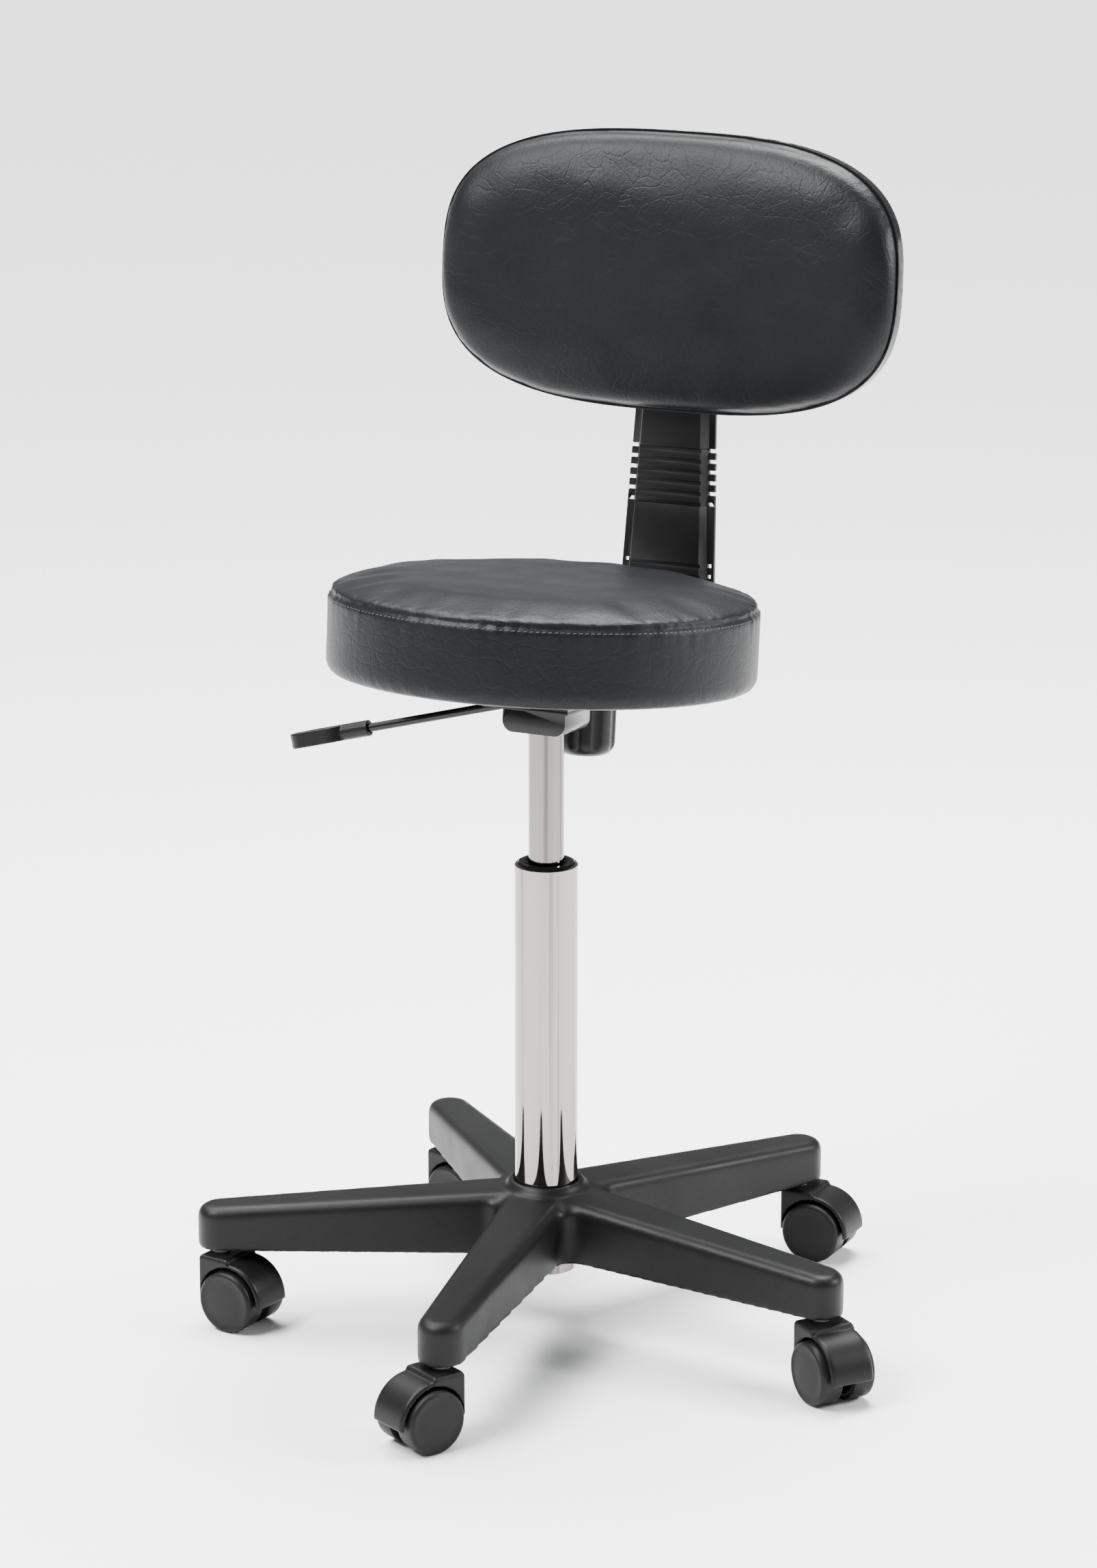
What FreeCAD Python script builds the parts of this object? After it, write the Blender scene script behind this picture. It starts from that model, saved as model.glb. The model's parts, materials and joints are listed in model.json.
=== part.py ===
import FreeCAD, Part
import math
import os
import re
import Sketcher

# Adjustable swivel stool: a round padded seat and a backrest on a gas lift column,
# with a five-legged base on twin-wheel casters.
# Millimetres. +Z is up, the column is the Z axis, the floor is Z = 0, and the sitter faces -Y.

# ---------------------------------------------------------------- driving sizes
SIZES = {
    # star base
    "leg_count": 5,
    "first_leg_angle": 60.3,
    "caster_circle": 260,
    "leg_underside": 64,
    "leg_tip_radius": 18,
    "leg_tip_height": 34,
    "leg_root_height": 52,
    "leg_root_half": 26,
    "leg_edge_radius": 9,
    "leg_wall": 4,
    "leg_rib": 3,
    "hub_radius": 40,
    "hub_ring_radius": 29,
    "hub_top": 121,
    "hub_shoulder": 104,
    "hub_ring_width": 3,
    "hub_ring_drop": 5,
    "hub_corner_radius": 13,
    # outer column tube and what is in its foot
    "tube_radius": 25,
    "tube_foot_radius": 23.4,
    "tube_wall": 2,
    "tube_bottom": 46,
    "tube_top": 381.5,
    "tube_chamfer": 1,
    "foot_plate": 3,
    "ball_radius": 1.5,
    "ball_circle": 8.5,
    "ball_count": 12,
    "race_thickness": 1.5,
    "race_radius": 11,
    "bumper_height": 11,
    "bumper_radius": 12,
    "bush_length": 60,
    "bush_crown": 1.5,
    "slide_gap": 0.3,
    # how far a cutting shape runs past what it cuts
    "overrun": 1,
    # gas lift
    "rod_radius": 5,
    "rod_top": 312,
    "rod_foot": 5,
    "head_height": 12,
    "clip_thickness": 1.5,
    "clip_radius": 9,
    "clip_groove": 1,
    "cylinder_radius": 14,
    "cylinder_wall": 1.5,
    "cylinder_bottom": 170,
    "cylinder_cone_radius": 13,
    "valve_length": 22,
    "seal_height": 14,
    "pin_radius": 4,
    "pin_stick_out": 3.7,
    "pin_length": 20,
    "pin_chamfer": 1,
    # seat side, measured from the seat plane, which leans back with the seat
    "seat_plane_height": 520,
    "seat_tilt": 6.3,
    "box_half_width": 26.5,
    "box_front": -22,
    "box_rear": 26,
    "box_bottom": -31,
    "box_wall": 2,
    "box_corner": 9,
    "plate_level": 11.5,
    "window_gap": 2,
    "window_length": 24,
    "flange_half_width": 36,
    "flange_margin": 18,
    "socket_wall": 3,
    "guide_wall": 2.5,
    "guide_front": 20,
    "guide_rear": 120,
    "nut_radius": 9,
    "nut_height": 6,
    "bar_width": 38,
    "bar_thickness": 13.9,
    "bar_wall": 2.5,
    "bar_bend": 30,
    "bar_front": 48,
    "bar_upright": 238,
    "bar_top": 340,
    "plate_thickness": 2.5,
    "plate_half_width": 75,
    "plate_half_length": 95,
    "plate_corner": 12,
    "screw_inset": 14,
    "screw_radius": 3,
    "screw_head_radius": 6,
    "screw_head_height": 3.5,
    "screw_length": 12,
    "board_radius": 160,
    "board_thickness": 12,
    "seat_centre": -11,
    "seat_radius": 172,
    "seat_skirt": 12,
    "seat_edge": 80,
    "seat_crown": 89,
    "seat_edge_radius": 12,
    # lever
    "lever_radius": 3.5,
    "lever_droop": 15,
    "lever_wall_level": -11.5,
    "lever_pivot_inset": 4.5,
    "lever_inner": 35,
    "lever_length": 150,
    "grip_radius": 6.5,
    "grip_length": 69,
    "grip_overlap": 22,
    "paddle_length": 46,
    "paddle_half_width": 12,
    "paddle_half_thickness": 6,
    "paddle_end_radius": 11,
    "scoop_radius": 12,
    "scoop_depth": 4,
    "scoop_length": 20,
    "pivot_radius": 2,
    # hand knobs
    "knob_radius": 24,
    "knob_height": 44,
    "knob_top": -16,
    "knob_distance": 81,
    "knob_flutes": 8,
    "knob_flute_radius": 9,
    "knob_flute_out": 7.2,
    "knob_rounding": 11,
    "stud_radius": 4,
    "stud_root": 2,
    "stud_hole_gap": 1,
    "back_knob_radius": 20,
    "back_knob_height": 26,
    "back_knob_level": 282,
    "back_knob_gap": 3,
    # ribbed cover of the upright
    "cover_face_low": 31.9,
    "cover_face_high": 23.5,
    "cover_flare": 4.5,
    "cover_lip": 5.5,
    "cover_lip_depth": 8,
    "cover_lip_thickness": 4,
    "cover_wall": 2,
    "cover_low_end": 33,
    "cover_low_ribs": 79,
    "cover_mid": 126,
    "cover_high_end": 244,
    "rib_notch": 1.2,
    "rib_pitch": 8.7,
    "rib_gap": 3.2,
    "rib_count": 5,
    # backrest
    "back_level": 315,
    "back_half_width": 197.5,
    "back_half_height": 112.5,
    "back_squareness": 2.9,
    "back_curve_radius": 1400,
    "back_face": 220,
    "pad_thickness": 32,
    "pad_edge_radius": 13,
    "back_board_thickness": 8,
    "trim_width": 12,
    "trim_thickness": 2.5,
    "shell_depth": 27,
    "shell_wall": 2.5,
    "shell_inset": 8,
    "shell_edge_radius": 14,
    "bracket_bottom": 250,
    "bracket_top": 312,
    "bracket_wall": 2.5,
    "bracket_half_width": 45,
    "back_screw_length": 8,
    "back_screw_radius": 2.5,
    "back_screw_margin": 1,
    # casters
    "wheel_radius": 25,
    "wheel_inner": 5.4,
    "wheel_outer": 24,
    "wheel_edge_radius": 3.5,
    "wheel_hub_radius": 8,
    "wheel_rim": 4.5,
    "wheel_recess": 11,
    "wheel_floor": 4,
    "caster_trail": 20,
    "hood_radius": 30.8,
    "hood_half_width": 19,
    "hood_cavity": 27.3,
    "hood_front": 8.2,
    "hood_top": 59.5,
    "hood_bottom": 23,
    "hood_edge_radius": 3,
    "web_half": 5,
    "web_bottom": 12,
    "axle_radius": 3,
    "axle_half_length": 19.5,
    "stem_radius": 5.5,
    "stem_bottom": 48,
    "stem_length": 38,
    "stem_flange_radius": 8,
    "stem_flange": 3,
    "stem_chamfer": 1,
    "sleeve_wall": 1.5,
    "sleeve_length": 24,
    "heading_1": -3,
    "heading_2": -19,
    "heading_3": -10,
    "heading_4": 241,
    "heading_5": -38,
}

doc = FreeCAD.newDocument("swivel_stool")
sizes = doc.addObject("Spreadsheet::Sheet", "sizes")
for row, (name, number) in enumerate(SIZES.items(), start=1):
    sizes.set(f"A{row}", name)
    sizes.set(f"B{row}", str(number))
    sizes.setAlias(f"B{row}", name)
doc.recompute()

TURN = 360
QUARTER_TURN = 90
X_AXIS = "1; 0; 0"
Y_AXIS = "0; 1; 0"
Z_AXIS = "0; 0; 1"
TOLERANCE = 0.01


# ---------------------------------------------------------------- helpers
def formula(text):
    """A formula of names from the sheet, written as a FreeCAD expression."""
    return re.sub(r"[A-Za-z_]\w*", lambda word: f"sizes.{word[0]}" if word[0] in SIZES else word[0], text)


def frame(x="0", y="0", z="0", axis=Z_AXIS, angle="0"):
    """A placement, as a formula: moved to x, y, z and turned about an axis."""
    return f"placement(vector({x}; {y}; {z}); rotation(vector({axis}); {angle}))"


SEAT = frame(z="seat_plane_height", axis=X_AXIS, angle="-seat_tilt")


def place(item, *frames):
    """Put an item in a chain of frames, outermost first."""
    item.setExpression("Placement", formula(" * ".join(frames)))
    return item


def solid(kind, name, **properties):
    """A Part primitive or feature with its sizes bound to the sheet."""
    item = doc.addObject(kind, name)
    for key, text in properties.items():
        item.setExpression(key, formula(text))
    return item


def cylinder(name, radius, height, *frames):
    """A cylinder that stands on its frame's origin, along its frame's Z."""
    return place(solid("Part::Cylinder", name, Radius=radius, Height=height), *frames)


def block(name, x, y, z, *frames):
    """A box between pairs of formulas, such as x=("-half", "half")."""
    item = solid(
        "Part::Box",
        name,
        Length=f"({x[1]}) - ({x[0]})",
        Width=f"({y[1]}) - ({y[0]})",
        Height=f"({z[1]}) - ({z[0]})",
    )
    return place(item, *frames, frame(x[0], y[0], z[0]))


def cut(name, base, *tools):
    """The base with every tool taken out of it."""
    item = doc.addObject("Part::Cut", name)
    item.Base = base
    item.Tool = tools[0] if len(tools) == 1 else fuse(f"{name}_tools", *tools)
    return item


def fuse(name, *shapes):
    """Several shapes joined into one."""
    item = doc.addObject("Part::MultiFuse", name)
    item.Shapes = list(shapes)
    item.Refine = True
    return item


def common(name, *shapes):
    """What all the shapes share."""
    item = doc.addObject("Part::MultiCommon", name)
    item.Shapes = list(shapes)
    return item


def round_edges(name, base, radius, chosen):
    """A Part fillet on the edges that the test chooses."""
    doc.recompute()
    item = doc.addObject("Part::Fillet", name)
    item.Base = base
    size = float(sizes.get(radius))
    item.Edges = [(index, size, size) for index, edge in enumerate(base.Shape.Edges, 1) if chosen(edge)]
    return item


def sketch(body, name, plane, points, offset="0"):
    """A closed outline on one of a body's planes. Each corner is a pair of formulas."""
    item = body.newObject("Sketcher::SketchObject", name)
    support = [feature for feature in body.Origin.OriginFeatures if feature.Role == plane]
    item.AttachmentSupport = [(support[0], "")]
    item.MapMode = "FlatFace"
    item.setExpression("AttachmentOffset", formula(frame(z=offset)))
    count = len(points)
    turns = [math.tau * (i + TOLERANCE) / count for i in range(count)]
    start = [FreeCAD.Vector(math.cos(turn), math.sin(turn), 0) for turn in turns]
    for i in range(count):
        item.addGeometry(Part.LineSegment(start[i], start[(i + 1) % count]), False)
    for i, (across, along) in enumerate(points):
        item.addConstraint(Sketcher.Constraint("Coincident", i, 2, (i + 1) % count, 1))
        for kind, text, now in (("DistanceX", across, start[i].x), ("DistanceY", along, start[i].y)):
            number = item.addConstraint(Sketcher.Constraint(kind, -1, 1, i, 1, now))
            item.setExpression(f"Constraints[{number}]", formula(text))
    return item


def turned(name, points, plane="XZ_Plane"):
    """A body of revolution about the sketch's upright axis. Each point is (radius, height)."""
    body = doc.addObject("PartDesign::Body", name)
    profile = sketch(body, f"{name}_profile", plane, points)
    turn = body.newObject("PartDesign::Revolution", f"{name}_turn")
    turn.Profile = profile
    turn.ReferenceAxis = (profile, ["V_Axis"])
    turn.Angle = TURN
    return body


def tube(name, inner, outer, low, high):
    """A ring or tube between two levels."""
    return turned(name, [(inner, low), (outer, low), (outer, high), (inner, high)])


def extruded(name, points, length):
    """A body that is one level outline pushed up by a length."""
    body = doc.addObject("PartDesign::Body", name)
    pad = body.newObject("PartDesign::Pad", f"{name}_pad")
    pad.Profile = sketch(body, f"{name}_outline", "XY_Plane", points)
    pad.setExpression("Length", formula(length))
    return body


def body_fillet(body, name, radius, chosen):
    """A PartDesign fillet on the edges of a body's tip that the test chooses."""
    doc.recompute()
    base = body.Tip
    edges = [f"Edge{i}" for i, edge in enumerate(base.Shape.Edges, 1) if chosen(edge)]
    item = body.newObject("PartDesign::Fillet", name)
    item.Base = (base, edges)
    item.setExpression("Radius", formula(radius))
    return item


def shaped(name, shape, *frames):
    """A sub-part whose shape comes from Part's own functions."""
    item = doc.addObject("Part::Feature", name)
    item.Shape = shape
    return place(item, *frames)


def size(name):
    """A number from the sheet."""
    return float(sizes.get(name))


def level(edge, height):
    """Whether an edge lies wholly at a height."""
    box = edge.BoundBox
    return abs(box.ZMin - height) < TOLERANCE and abs(box.ZMax - height) < TOLERANCE


# ---------------------------------------------------------------- star base
LEG_STEP = f"{TURN} / leg_count"
TUBE_BORE_AT_HUB = "tube_foot_radius + (tube_radius - tube_foot_radius) * {} / (hub_top - tube_bottom)"
NARROWING = "(leg_root_half - leg_tip_radius) / caster_circle"
LEG_TIP_X = f"(caster_circle + leg_tip_radius * {NARROWING})"
LEG_TIP_Y = f"(leg_tip_radius * sqrt(1 - ({NARROWING}) ^ 2))"
HUB_FOOT_BORE = TUBE_BORE_AT_HUB.format("(leg_underside - tube_bottom)")


def star_base():
    """Five tapering legs around a hub, moulded in one piece and hollow from below."""
    leg = extruded(
        "leg",
        [
            ("0", "-leg_root_half"),
            (LEG_TIP_X, f"-{LEG_TIP_Y}"),
            (LEG_TIP_X, LEG_TIP_Y),
            ("0", "leg_root_half"),
        ],
        "leg_root_height + 2 * leg_edge_radius",
    )
    tip = leg.newObject("PartDesign::AdditiveCylinder", "leg_tip")
    tip.setExpression("Radius", formula("leg_tip_radius"))
    tip.setExpression("Height", formula("leg_root_height + 2 * leg_edge_radius"))
    place(tip, frame("caster_circle"))
    above = sketch(
        leg,
        "leg_above",
        "XZ_Plane",
        [
            ("0", "leg_root_height"),
            ("caster_circle + leg_tip_radius", "leg_tip_height"),
            ("caster_circle + 2 * leg_tip_radius", "leg_tip_height"),
            ("caster_circle + 2 * leg_tip_radius", "leg_root_height + 4 * leg_edge_radius"),
            ("0", "leg_root_height + 4 * leg_edge_radius"),
        ],
    )
    slope = leg.newObject("PartDesign::Pocket", "leg_slope")
    slope.Profile = above
    slope.Midplane = True
    slope.setExpression("Length", formula("4 * leg_root_half"))
    body_fillet(leg, "leg_rounding", "leg_edge_radius", upper_leg_edge)

    # three open cells under each leg, with ribs between them
    cell_start, cell_end = "(hub_radius + leg_wall)", "(caster_circle - leg_tip_radius)"
    cells = 3
    for i in range(cells):
        near = f"{cell_start} + ({cell_end} - {cell_start}) * {i} / {cells}"
        far = f"{cell_start} + ({cell_end} - {cell_start}) * {i + 1} / {cells} - leg_rib"
        wide = f"leg_root_half - leg_wall - ({near}) * {NARROWING}"
        slim = f"leg_root_half - leg_wall - ({far}) * {NARROWING}"
        cell = sketch(
            leg,
            f"leg_cell_{i + 1}",
            "XY_Plane",
            [(near, f"-({wide})"), (far, f"-({slim})"), (far, slim), (near, wide)],
        )
        hollow = leg.newObject("PartDesign::Pocket", f"leg_hollow_{i + 1}")
        hollow.Profile = cell
        hollow.Reversed = True
        hollow.setExpression("Length", formula("leg_tip_height - leg_edge_radius"))

    legs = leg.newObject("PartDesign::PolarPattern", "legs")
    legs.TransformMode = "Whole shape"
    legs.Axis = ([f for f in leg.Origin.OriginFeatures if f.Role == "Z_Axis"][0], [""])
    legs.Angle = TURN
    legs.setExpression("Occurrences", formula("leg_count"))
    leg.Tip = legs
    doc.recompute()
    placed_legs = place(leg, frame(z="leg_underside", angle="first_leg_angle"))

    hub = turned(
        "hub",
        [
            (HUB_FOOT_BORE, "leg_underside"),
            ("hub_radius", "leg_underside"),
            ("hub_radius", "hub_shoulder"),
            ("hub_ring_radius + hub_ring_width", "hub_top - hub_ring_drop"),
            ("hub_ring_radius", "hub_top"),
            ("tube_radius", "hub_top"),
        ],
    )
    blank = fuse("base_blank", placed_legs, hub)
    corners = round_edges("base_corners", blank, "hub_corner_radius", hub_corner)
    bore_foot, bore_head = "leg_underside - overrun", "hub_top + overrun"
    tools = [
        turned(
            "column_bore",
            [
                ("0", bore_foot),
                (TUBE_BORE_AT_HUB.format(f"({bore_foot} - tube_bottom)"), bore_foot),
                (TUBE_BORE_AT_HUB.format(f"({bore_head} - tube_bottom)"), bore_head),
                ("0", bore_head),
            ],
        )
    ]
    for i in range(int(size("leg_count"))):
        tools.append(
            cylinder(
                f"socket_bore_{i + 1}",
                "stem_radius + slide_gap + sleeve_wall",
                "sleeve_length + overrun",
                leg_frame(i),
                frame("caster_circle", z="leg_underside - overrun"),
            )
        )
    return cut("star_base", corners, fuse("base_bores", *tools))


def upper_leg_edge(edge):
    """The outline of a leg's sloping top beyond the hub, round to the tip."""
    box = edge.BoundBox
    high = box.ZMin > size("leg_tip_height") - TOLERANCE
    beyond_hub = box.XMax > size("hub_radius") + TOLERANCE
    return high and beyond_hub and not (box.XLength < TOLERANCE and box.YLength > size("leg_tip_radius"))


def hub_corner(edge):
    """The upright inner corners where two neighbouring legs meet at the hub."""
    box = edge.BoundBox
    upright = box.XLength < TOLERANCE and box.YLength < TOLERANCE
    tall = box.ZLength > size("leg_tip_height") / 2
    return upright and tall and math.hypot(box.XMin, box.YMin) < size("hub_radius") + size("leg_root_half")


def leg_frame(number):
    """The frame of a leg, with X out along it."""
    return frame(angle=f"first_leg_angle + {number} * {LEG_STEP}")


star_base()


# ---------------------------------------------------------------- column
BEARING = "(tube_bottom + foot_plate)"
BALL_CENTRE = f"({BEARING} + ball_radius)"
RACE_BOTTOM = f"({BEARING} + 2 * ball_radius + slide_gap)"
RACE_TOP = f"({RACE_BOTTOM} + race_thickness)"

turned(
    "outer_tube",
    [
        ("rod_radius + slide_gap", "tube_bottom"),
        ("tube_foot_radius", "tube_bottom"),
        ("tube_radius", "hub_top"),
        ("tube_radius", "tube_top - tube_chamfer"),
        ("tube_radius - tube_chamfer", "tube_top"),
        ("tube_radius - tube_wall", "tube_top"),
        ("tube_radius - tube_wall", "hub_top"),
        ("tube_foot_radius - tube_wall", BEARING),
        ("rod_radius + slide_gap", BEARING),
    ],
)
turned(
    "guide_bush",
    [
        ("cylinder_radius + slide_gap", "tube_top - bush_length"),
        ("tube_radius - tube_wall", "tube_top - bush_length"),
        ("tube_radius - tube_wall", "tube_top"),
        ("tube_radius - tube_wall - bush_crown", "tube_top + bush_crown"),
        ("cylinder_radius + slide_gap + 2 * bush_crown", "tube_top + bush_crown"),
        ("cylinder_radius + slide_gap", "tube_top - bush_crown"),
    ],
)


def caster_sockets():
    """A steel sleeve in each leg's tip for the caster's stem."""
    sleeves = []
    for i in range(int(size("leg_count"))):
        at = (leg_frame(i), frame("caster_circle", z="leg_underside"))
        outside = cylinder(f"sleeve_{i + 1}", "stem_radius + slide_gap + sleeve_wall", "sleeve_length", *at)
        inside = cylinder(f"sleeve_bore_{i + 1}", "stem_radius + slide_gap", "sleeve_length", *at)
        sleeves.append(cut(f"sleeve_tube_{i + 1}", outside, inside))
    group = doc.addObject("Part::Compound", "caster_sockets")
    group.Links = sleeves


def bearing_balls():
    """The ring of balls that carries the rod's race on the tube's foot plate."""
    balls = []
    for i in range(int(size("ball_count"))):
        ball = solid("Part::Sphere", f"ball_{i + 1}", Radius="ball_radius")
        angle = f"{i} * {TURN} / ball_count"
        balls.append(place(ball, frame(z=BALL_CENTRE, angle=angle), frame("ball_circle")))
    group = doc.addObject("Part::Compound", "bearing_balls")
    group.Links = balls


caster_sockets()
bearing_balls()

tube("bearing_race", "rod_radius", "race_radius", RACE_BOTTOM, RACE_TOP)
tube("rubber_bumper", "rod_radius", "bumper_radius", RACE_TOP, f"{RACE_TOP} + bumper_height")
CLIP_TOP = "(tube_bottom - slide_gap)"
turned(
    "piston_rod",
    [
        ("0", "tube_bottom - rod_foot"),
        ("rod_radius - clip_groove", "tube_bottom - rod_foot"),
        ("rod_radius", "tube_bottom - rod_foot + clip_groove"),
        ("rod_radius", f"{CLIP_TOP} - clip_thickness"),
        ("rod_radius - clip_groove", f"{CLIP_TOP} - clip_thickness"),
        ("rod_radius - clip_groove", CLIP_TOP),
        ("rod_radius", CLIP_TOP),
        ("rod_radius", "rod_top"),
        ("0", "rod_top"),
    ],
)
tube("retaining_clip", "rod_radius - clip_groove", "clip_radius", f"{CLIP_TOP} - clip_thickness", CLIP_TOP)
turned(
    "piston_head",
    [
        ("rod_radius", "rod_top - head_height"),
        ("cylinder_radius - cylinder_wall - slide_gap", "rod_top - head_height"),
        ("cylinder_radius - cylinder_wall - slide_gap", "rod_top - clip_groove"),
        ("cylinder_radius - cylinder_wall - slide_gap - clip_groove", "rod_top"),
        ("rod_radius", "rod_top"),
    ],
)
ROD_ABOVE_PIN = (
    "(lever_wall_level + (box_half_width - pin_radius) * tan(lever_droop)"
    " - lever_radius / cos(lever_droop) - slide_gap)"
)
CYLINDER_TOP = f"(seat_plane_height + {ROD_ABOVE_PIN} - pin_stick_out)"
CONE_START = "(seat_plane_height + box_bottom)"
turned(
    "gas_cylinder",
    [
        ("cylinder_radius - cylinder_wall", "cylinder_bottom"),
        ("cylinder_radius", "cylinder_bottom"),
        ("cylinder_radius", CONE_START),
        ("cylinder_cone_radius", CYLINDER_TOP),
        ("pin_radius + slide_gap", CYLINDER_TOP),
        ("pin_radius + slide_gap", f"{CYLINDER_TOP} - valve_length"),
        ("cylinder_radius - cylinder_wall", f"{CYLINDER_TOP} - valve_length"),
    ],
)
tube(
    "rod_seal",
    "rod_radius + slide_gap",
    "cylinder_radius - cylinder_wall",
    "cylinder_bottom",
    "cylinder_bottom + seal_height",
)
turned(
    "release_pin",
    [
        ("0", f"{CYLINDER_TOP} + pin_stick_out - pin_length"),
        ("pin_radius", f"{CYLINDER_TOP} + pin_stick_out - pin_length"),
        ("pin_radius", f"{CYLINDER_TOP} + pin_stick_out - pin_chamfer"),
        ("pin_radius - pin_chamfer", f"{CYLINDER_TOP} + pin_stick_out"),
        ("0", f"{CYLINDER_TOP} + pin_stick_out"),
    ],
)


# ---------------------------------------------------------------- mechanism under the seat
GUIDE_BOTTOM = "(plate_level - bar_thickness - 2 * slide_gap - 2 * guide_wall)"
BAR_LEVEL = "(plate_level - guide_wall - slide_gap - bar_thickness / 2)"
UPRIGHT = frame(axis=X_AXIS, angle="seat_tilt")
BOX = {"x": ("-box_half_width", "box_half_width"), "y": ("box_front", "box_rear")}
FLANGE = {
    "x": ("-flange_half_width", "flange_half_width"),
    "y": ("box_front - flange_margin", "box_rear + flange_margin"),
}


def inset(spans, wall):
    """The spans of a box, drawn in by a wall on each side."""
    return {axis: (f"{low} + {wall}", f"{high} - {wall}") for axis, (low, high) in spans.items()}


def bottom_side_edge(bottom):
    """A test for the front-to-back edges at a level."""
    return lambda edge: level(edge, bottom) and edge.BoundBox.XLength < TOLERANCE


def lever_frame(along="0"):
    """The lever's own frame: Z runs out along the rod from the box's wall, and X points up."""
    turn = f"-{QUARTER_TURN} - lever_droop"
    at_wall = frame("-box_half_width", z="lever_wall_level", axis=Y_AXIS, angle=turn)
    return f"{at_wall} * {frame(z=along)}"


def mechanism_box():
    """The pressed steel tub that holds the top of the gas cylinder, with its flange."""
    low = size("box_bottom")
    outer = round_edges(
        "tub_outside",
        block("tub_block", z=("box_bottom", GUIDE_BOTTOM), **BOX),
        "box_corner",
        bottom_side_edge(low),
    )
    above = f"{GUIDE_BOTTOM} + overrun"
    hollow = block("tub_hollow", z=("box_bottom + box_wall", above), **inset(BOX, "box_wall"))
    inner_bottom = bottom_side_edge(low + size("box_wall"))
    tub = cut("tub", outer, round_edges("tub_inside", hollow, "box_wall", inner_bottom))
    rim = block("flange_block", z=(f"{GUIDE_BOTTOM} - guide_wall", GUIDE_BOTTOM), **FLANGE)
    mouth = block("flange_mouth", z=(f"{GUIDE_BOTTOM} - 2 * guide_wall", above), **inset(BOX, "box_wall"))
    socket_height = f"{CYLINDER_TOP} - seat_plane_height - box_bottom - box_wall"
    socket_foot = frame(z="box_bottom + box_wall / 2")
    socket = cylinder("socket", "cylinder_radius + socket_wall", socket_height, UPRIGHT, socket_foot)
    shell = fuse("box_shell", tub, cut("flange", rim, mouth), socket)
    cone = solid(
        "Part::Cone",
        "socket_cone",
        Radius1="cylinder_radius",
        Radius2="cylinder_cone_radius",
        Height=f"{CYLINDER_TOP} - seat_plane_height - box_bottom",
    )
    place(cone, UPRIGHT, frame(z="box_bottom"))
    throat_foot = frame(z="box_bottom - 2 * socket_wall")
    throat = cylinder("socket_throat", "cylinder_radius", "2 * socket_wall", UPRIGHT, throat_foot)
    window_start = lever_frame("-window_length / 3")
    window = cylinder("lever_window", "lever_radius + window_gap", "window_length", window_start)
    place(cut("mechanism_box", shell, cone, throat, window, pivot("pivot_bore")), SEAT)


def pivot(name, *frames):
    """The lever's hinge pin, from the front wall of the box to the rear wall."""
    at = frame(
        "lever_pivot_inset - box_half_width",
        "box_rear",
        "lever_wall_level + lever_pivot_inset * tan(lever_droop)",
        X_AXIS,
        str(QUARTER_TURN),
    )
    return cylinder(name, "pivot_radius", "box_rear - box_front", *frames, at)


def screw_places():
    """The four corners of the seat plate where its screws go."""
    across, along = "(plate_half_width - screw_inset)", "(plate_half_length - screw_inset)"
    return [(f"{i} * {across}", f"seat_centre + {j} * {along}") for i in (-1, 1) for j in (-1, 1)]


def screw_shanks(name):
    """The four seat screws' shanks."""
    shanks = [
        cylinder(f"{name}_{i}", "screw_radius", "screw_length", frame(x, y, "plate_level"))
        for i, (x, y) in enumerate(screw_places(), 1)
    ]
    return fuse(name, *shanks)


def seat_plate():
    """The steel plate under the seat board, with a skirt that stands on the box's flange."""
    plate_block = block(
        "plate_block",
        ("-plate_half_width", "plate_half_width"),
        ("seat_centre - plate_half_length", "seat_centre + plate_half_length"),
        ("plate_level", "plate_level + plate_thickness"),
    )
    plate = round_edges("plate", plate_block, "plate_corner", lambda edge: edge.BoundBox.ZLength > TOLERANCE)
    skirt = cut(
        "skirt",
        block("skirt_block", z=(GUIDE_BOTTOM, "plate_level"), **FLANGE),
        block("skirt_hollow", z=(f"{GUIDE_BOTTOM} - overrun", "plate_level"), **inset(FLANGE, "guide_wall")),
    )
    slot = block(
        "guide_slot",
        ("-bar_width / 2 - slide_gap - guide_wall", "bar_width / 2 + slide_gap + guide_wall"),
        ("box_rear", "box_rear + 2 * flange_margin"),
        (f"{GUIDE_BOTTOM} - overrun", "plate_level"),
    )
    tools = fuse("plate_openings", slot, screw_shanks("plate_bores"))
    place(cut("seat_plate", fuse("plate_blank", plate, skirt), tools), SEAT)


def bar_guide():
    """The rectangular tube that the back bar slides in, with the nut for the hand knob's stud."""
    half = "bar_width / 2 + slide_gap"
    outside = block(
        "guide_block",
        (f"-({half} + guide_wall)", f"{half} + guide_wall"),
        ("guide_front", "guide_rear"),
        (GUIDE_BOTTOM, "plate_level"),
    )
    nut_foot = frame(y="knob_distance", z=f"{GUIDE_BOTTOM} - nut_height")
    nut = cylinder("guide_nut", "nut_radius", "nut_height + guide_wall / 2", nut_foot)
    hollow = block(
        "guide_hollow",
        (f"-({half})", half),
        ("guide_front - overrun", "guide_rear + overrun"),
        (f"{GUIDE_BOTTOM} + guide_wall", "plate_level - guide_wall"),
    )
    bore = cylinder(
        "guide_nut_bore",
        "stud_radius + slide_gap",
        "nut_height + 3 * guide_wall",
        frame(y="knob_distance", z=f"{GUIDE_BOTTOM} - nut_height - overrun"),
    )
    place(cut("bar_guide", fuse("guide_blank", outside, nut), fuse("guide_openings", hollow, bore)), SEAT)


mechanism_box()
pivot("lever_pivot", SEAT)
seat_plate()
bar_guide()


# ---------------------------------------------------------------- seat
BOARD_BOTTOM = "(plate_level + plate_thickness)"


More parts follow.
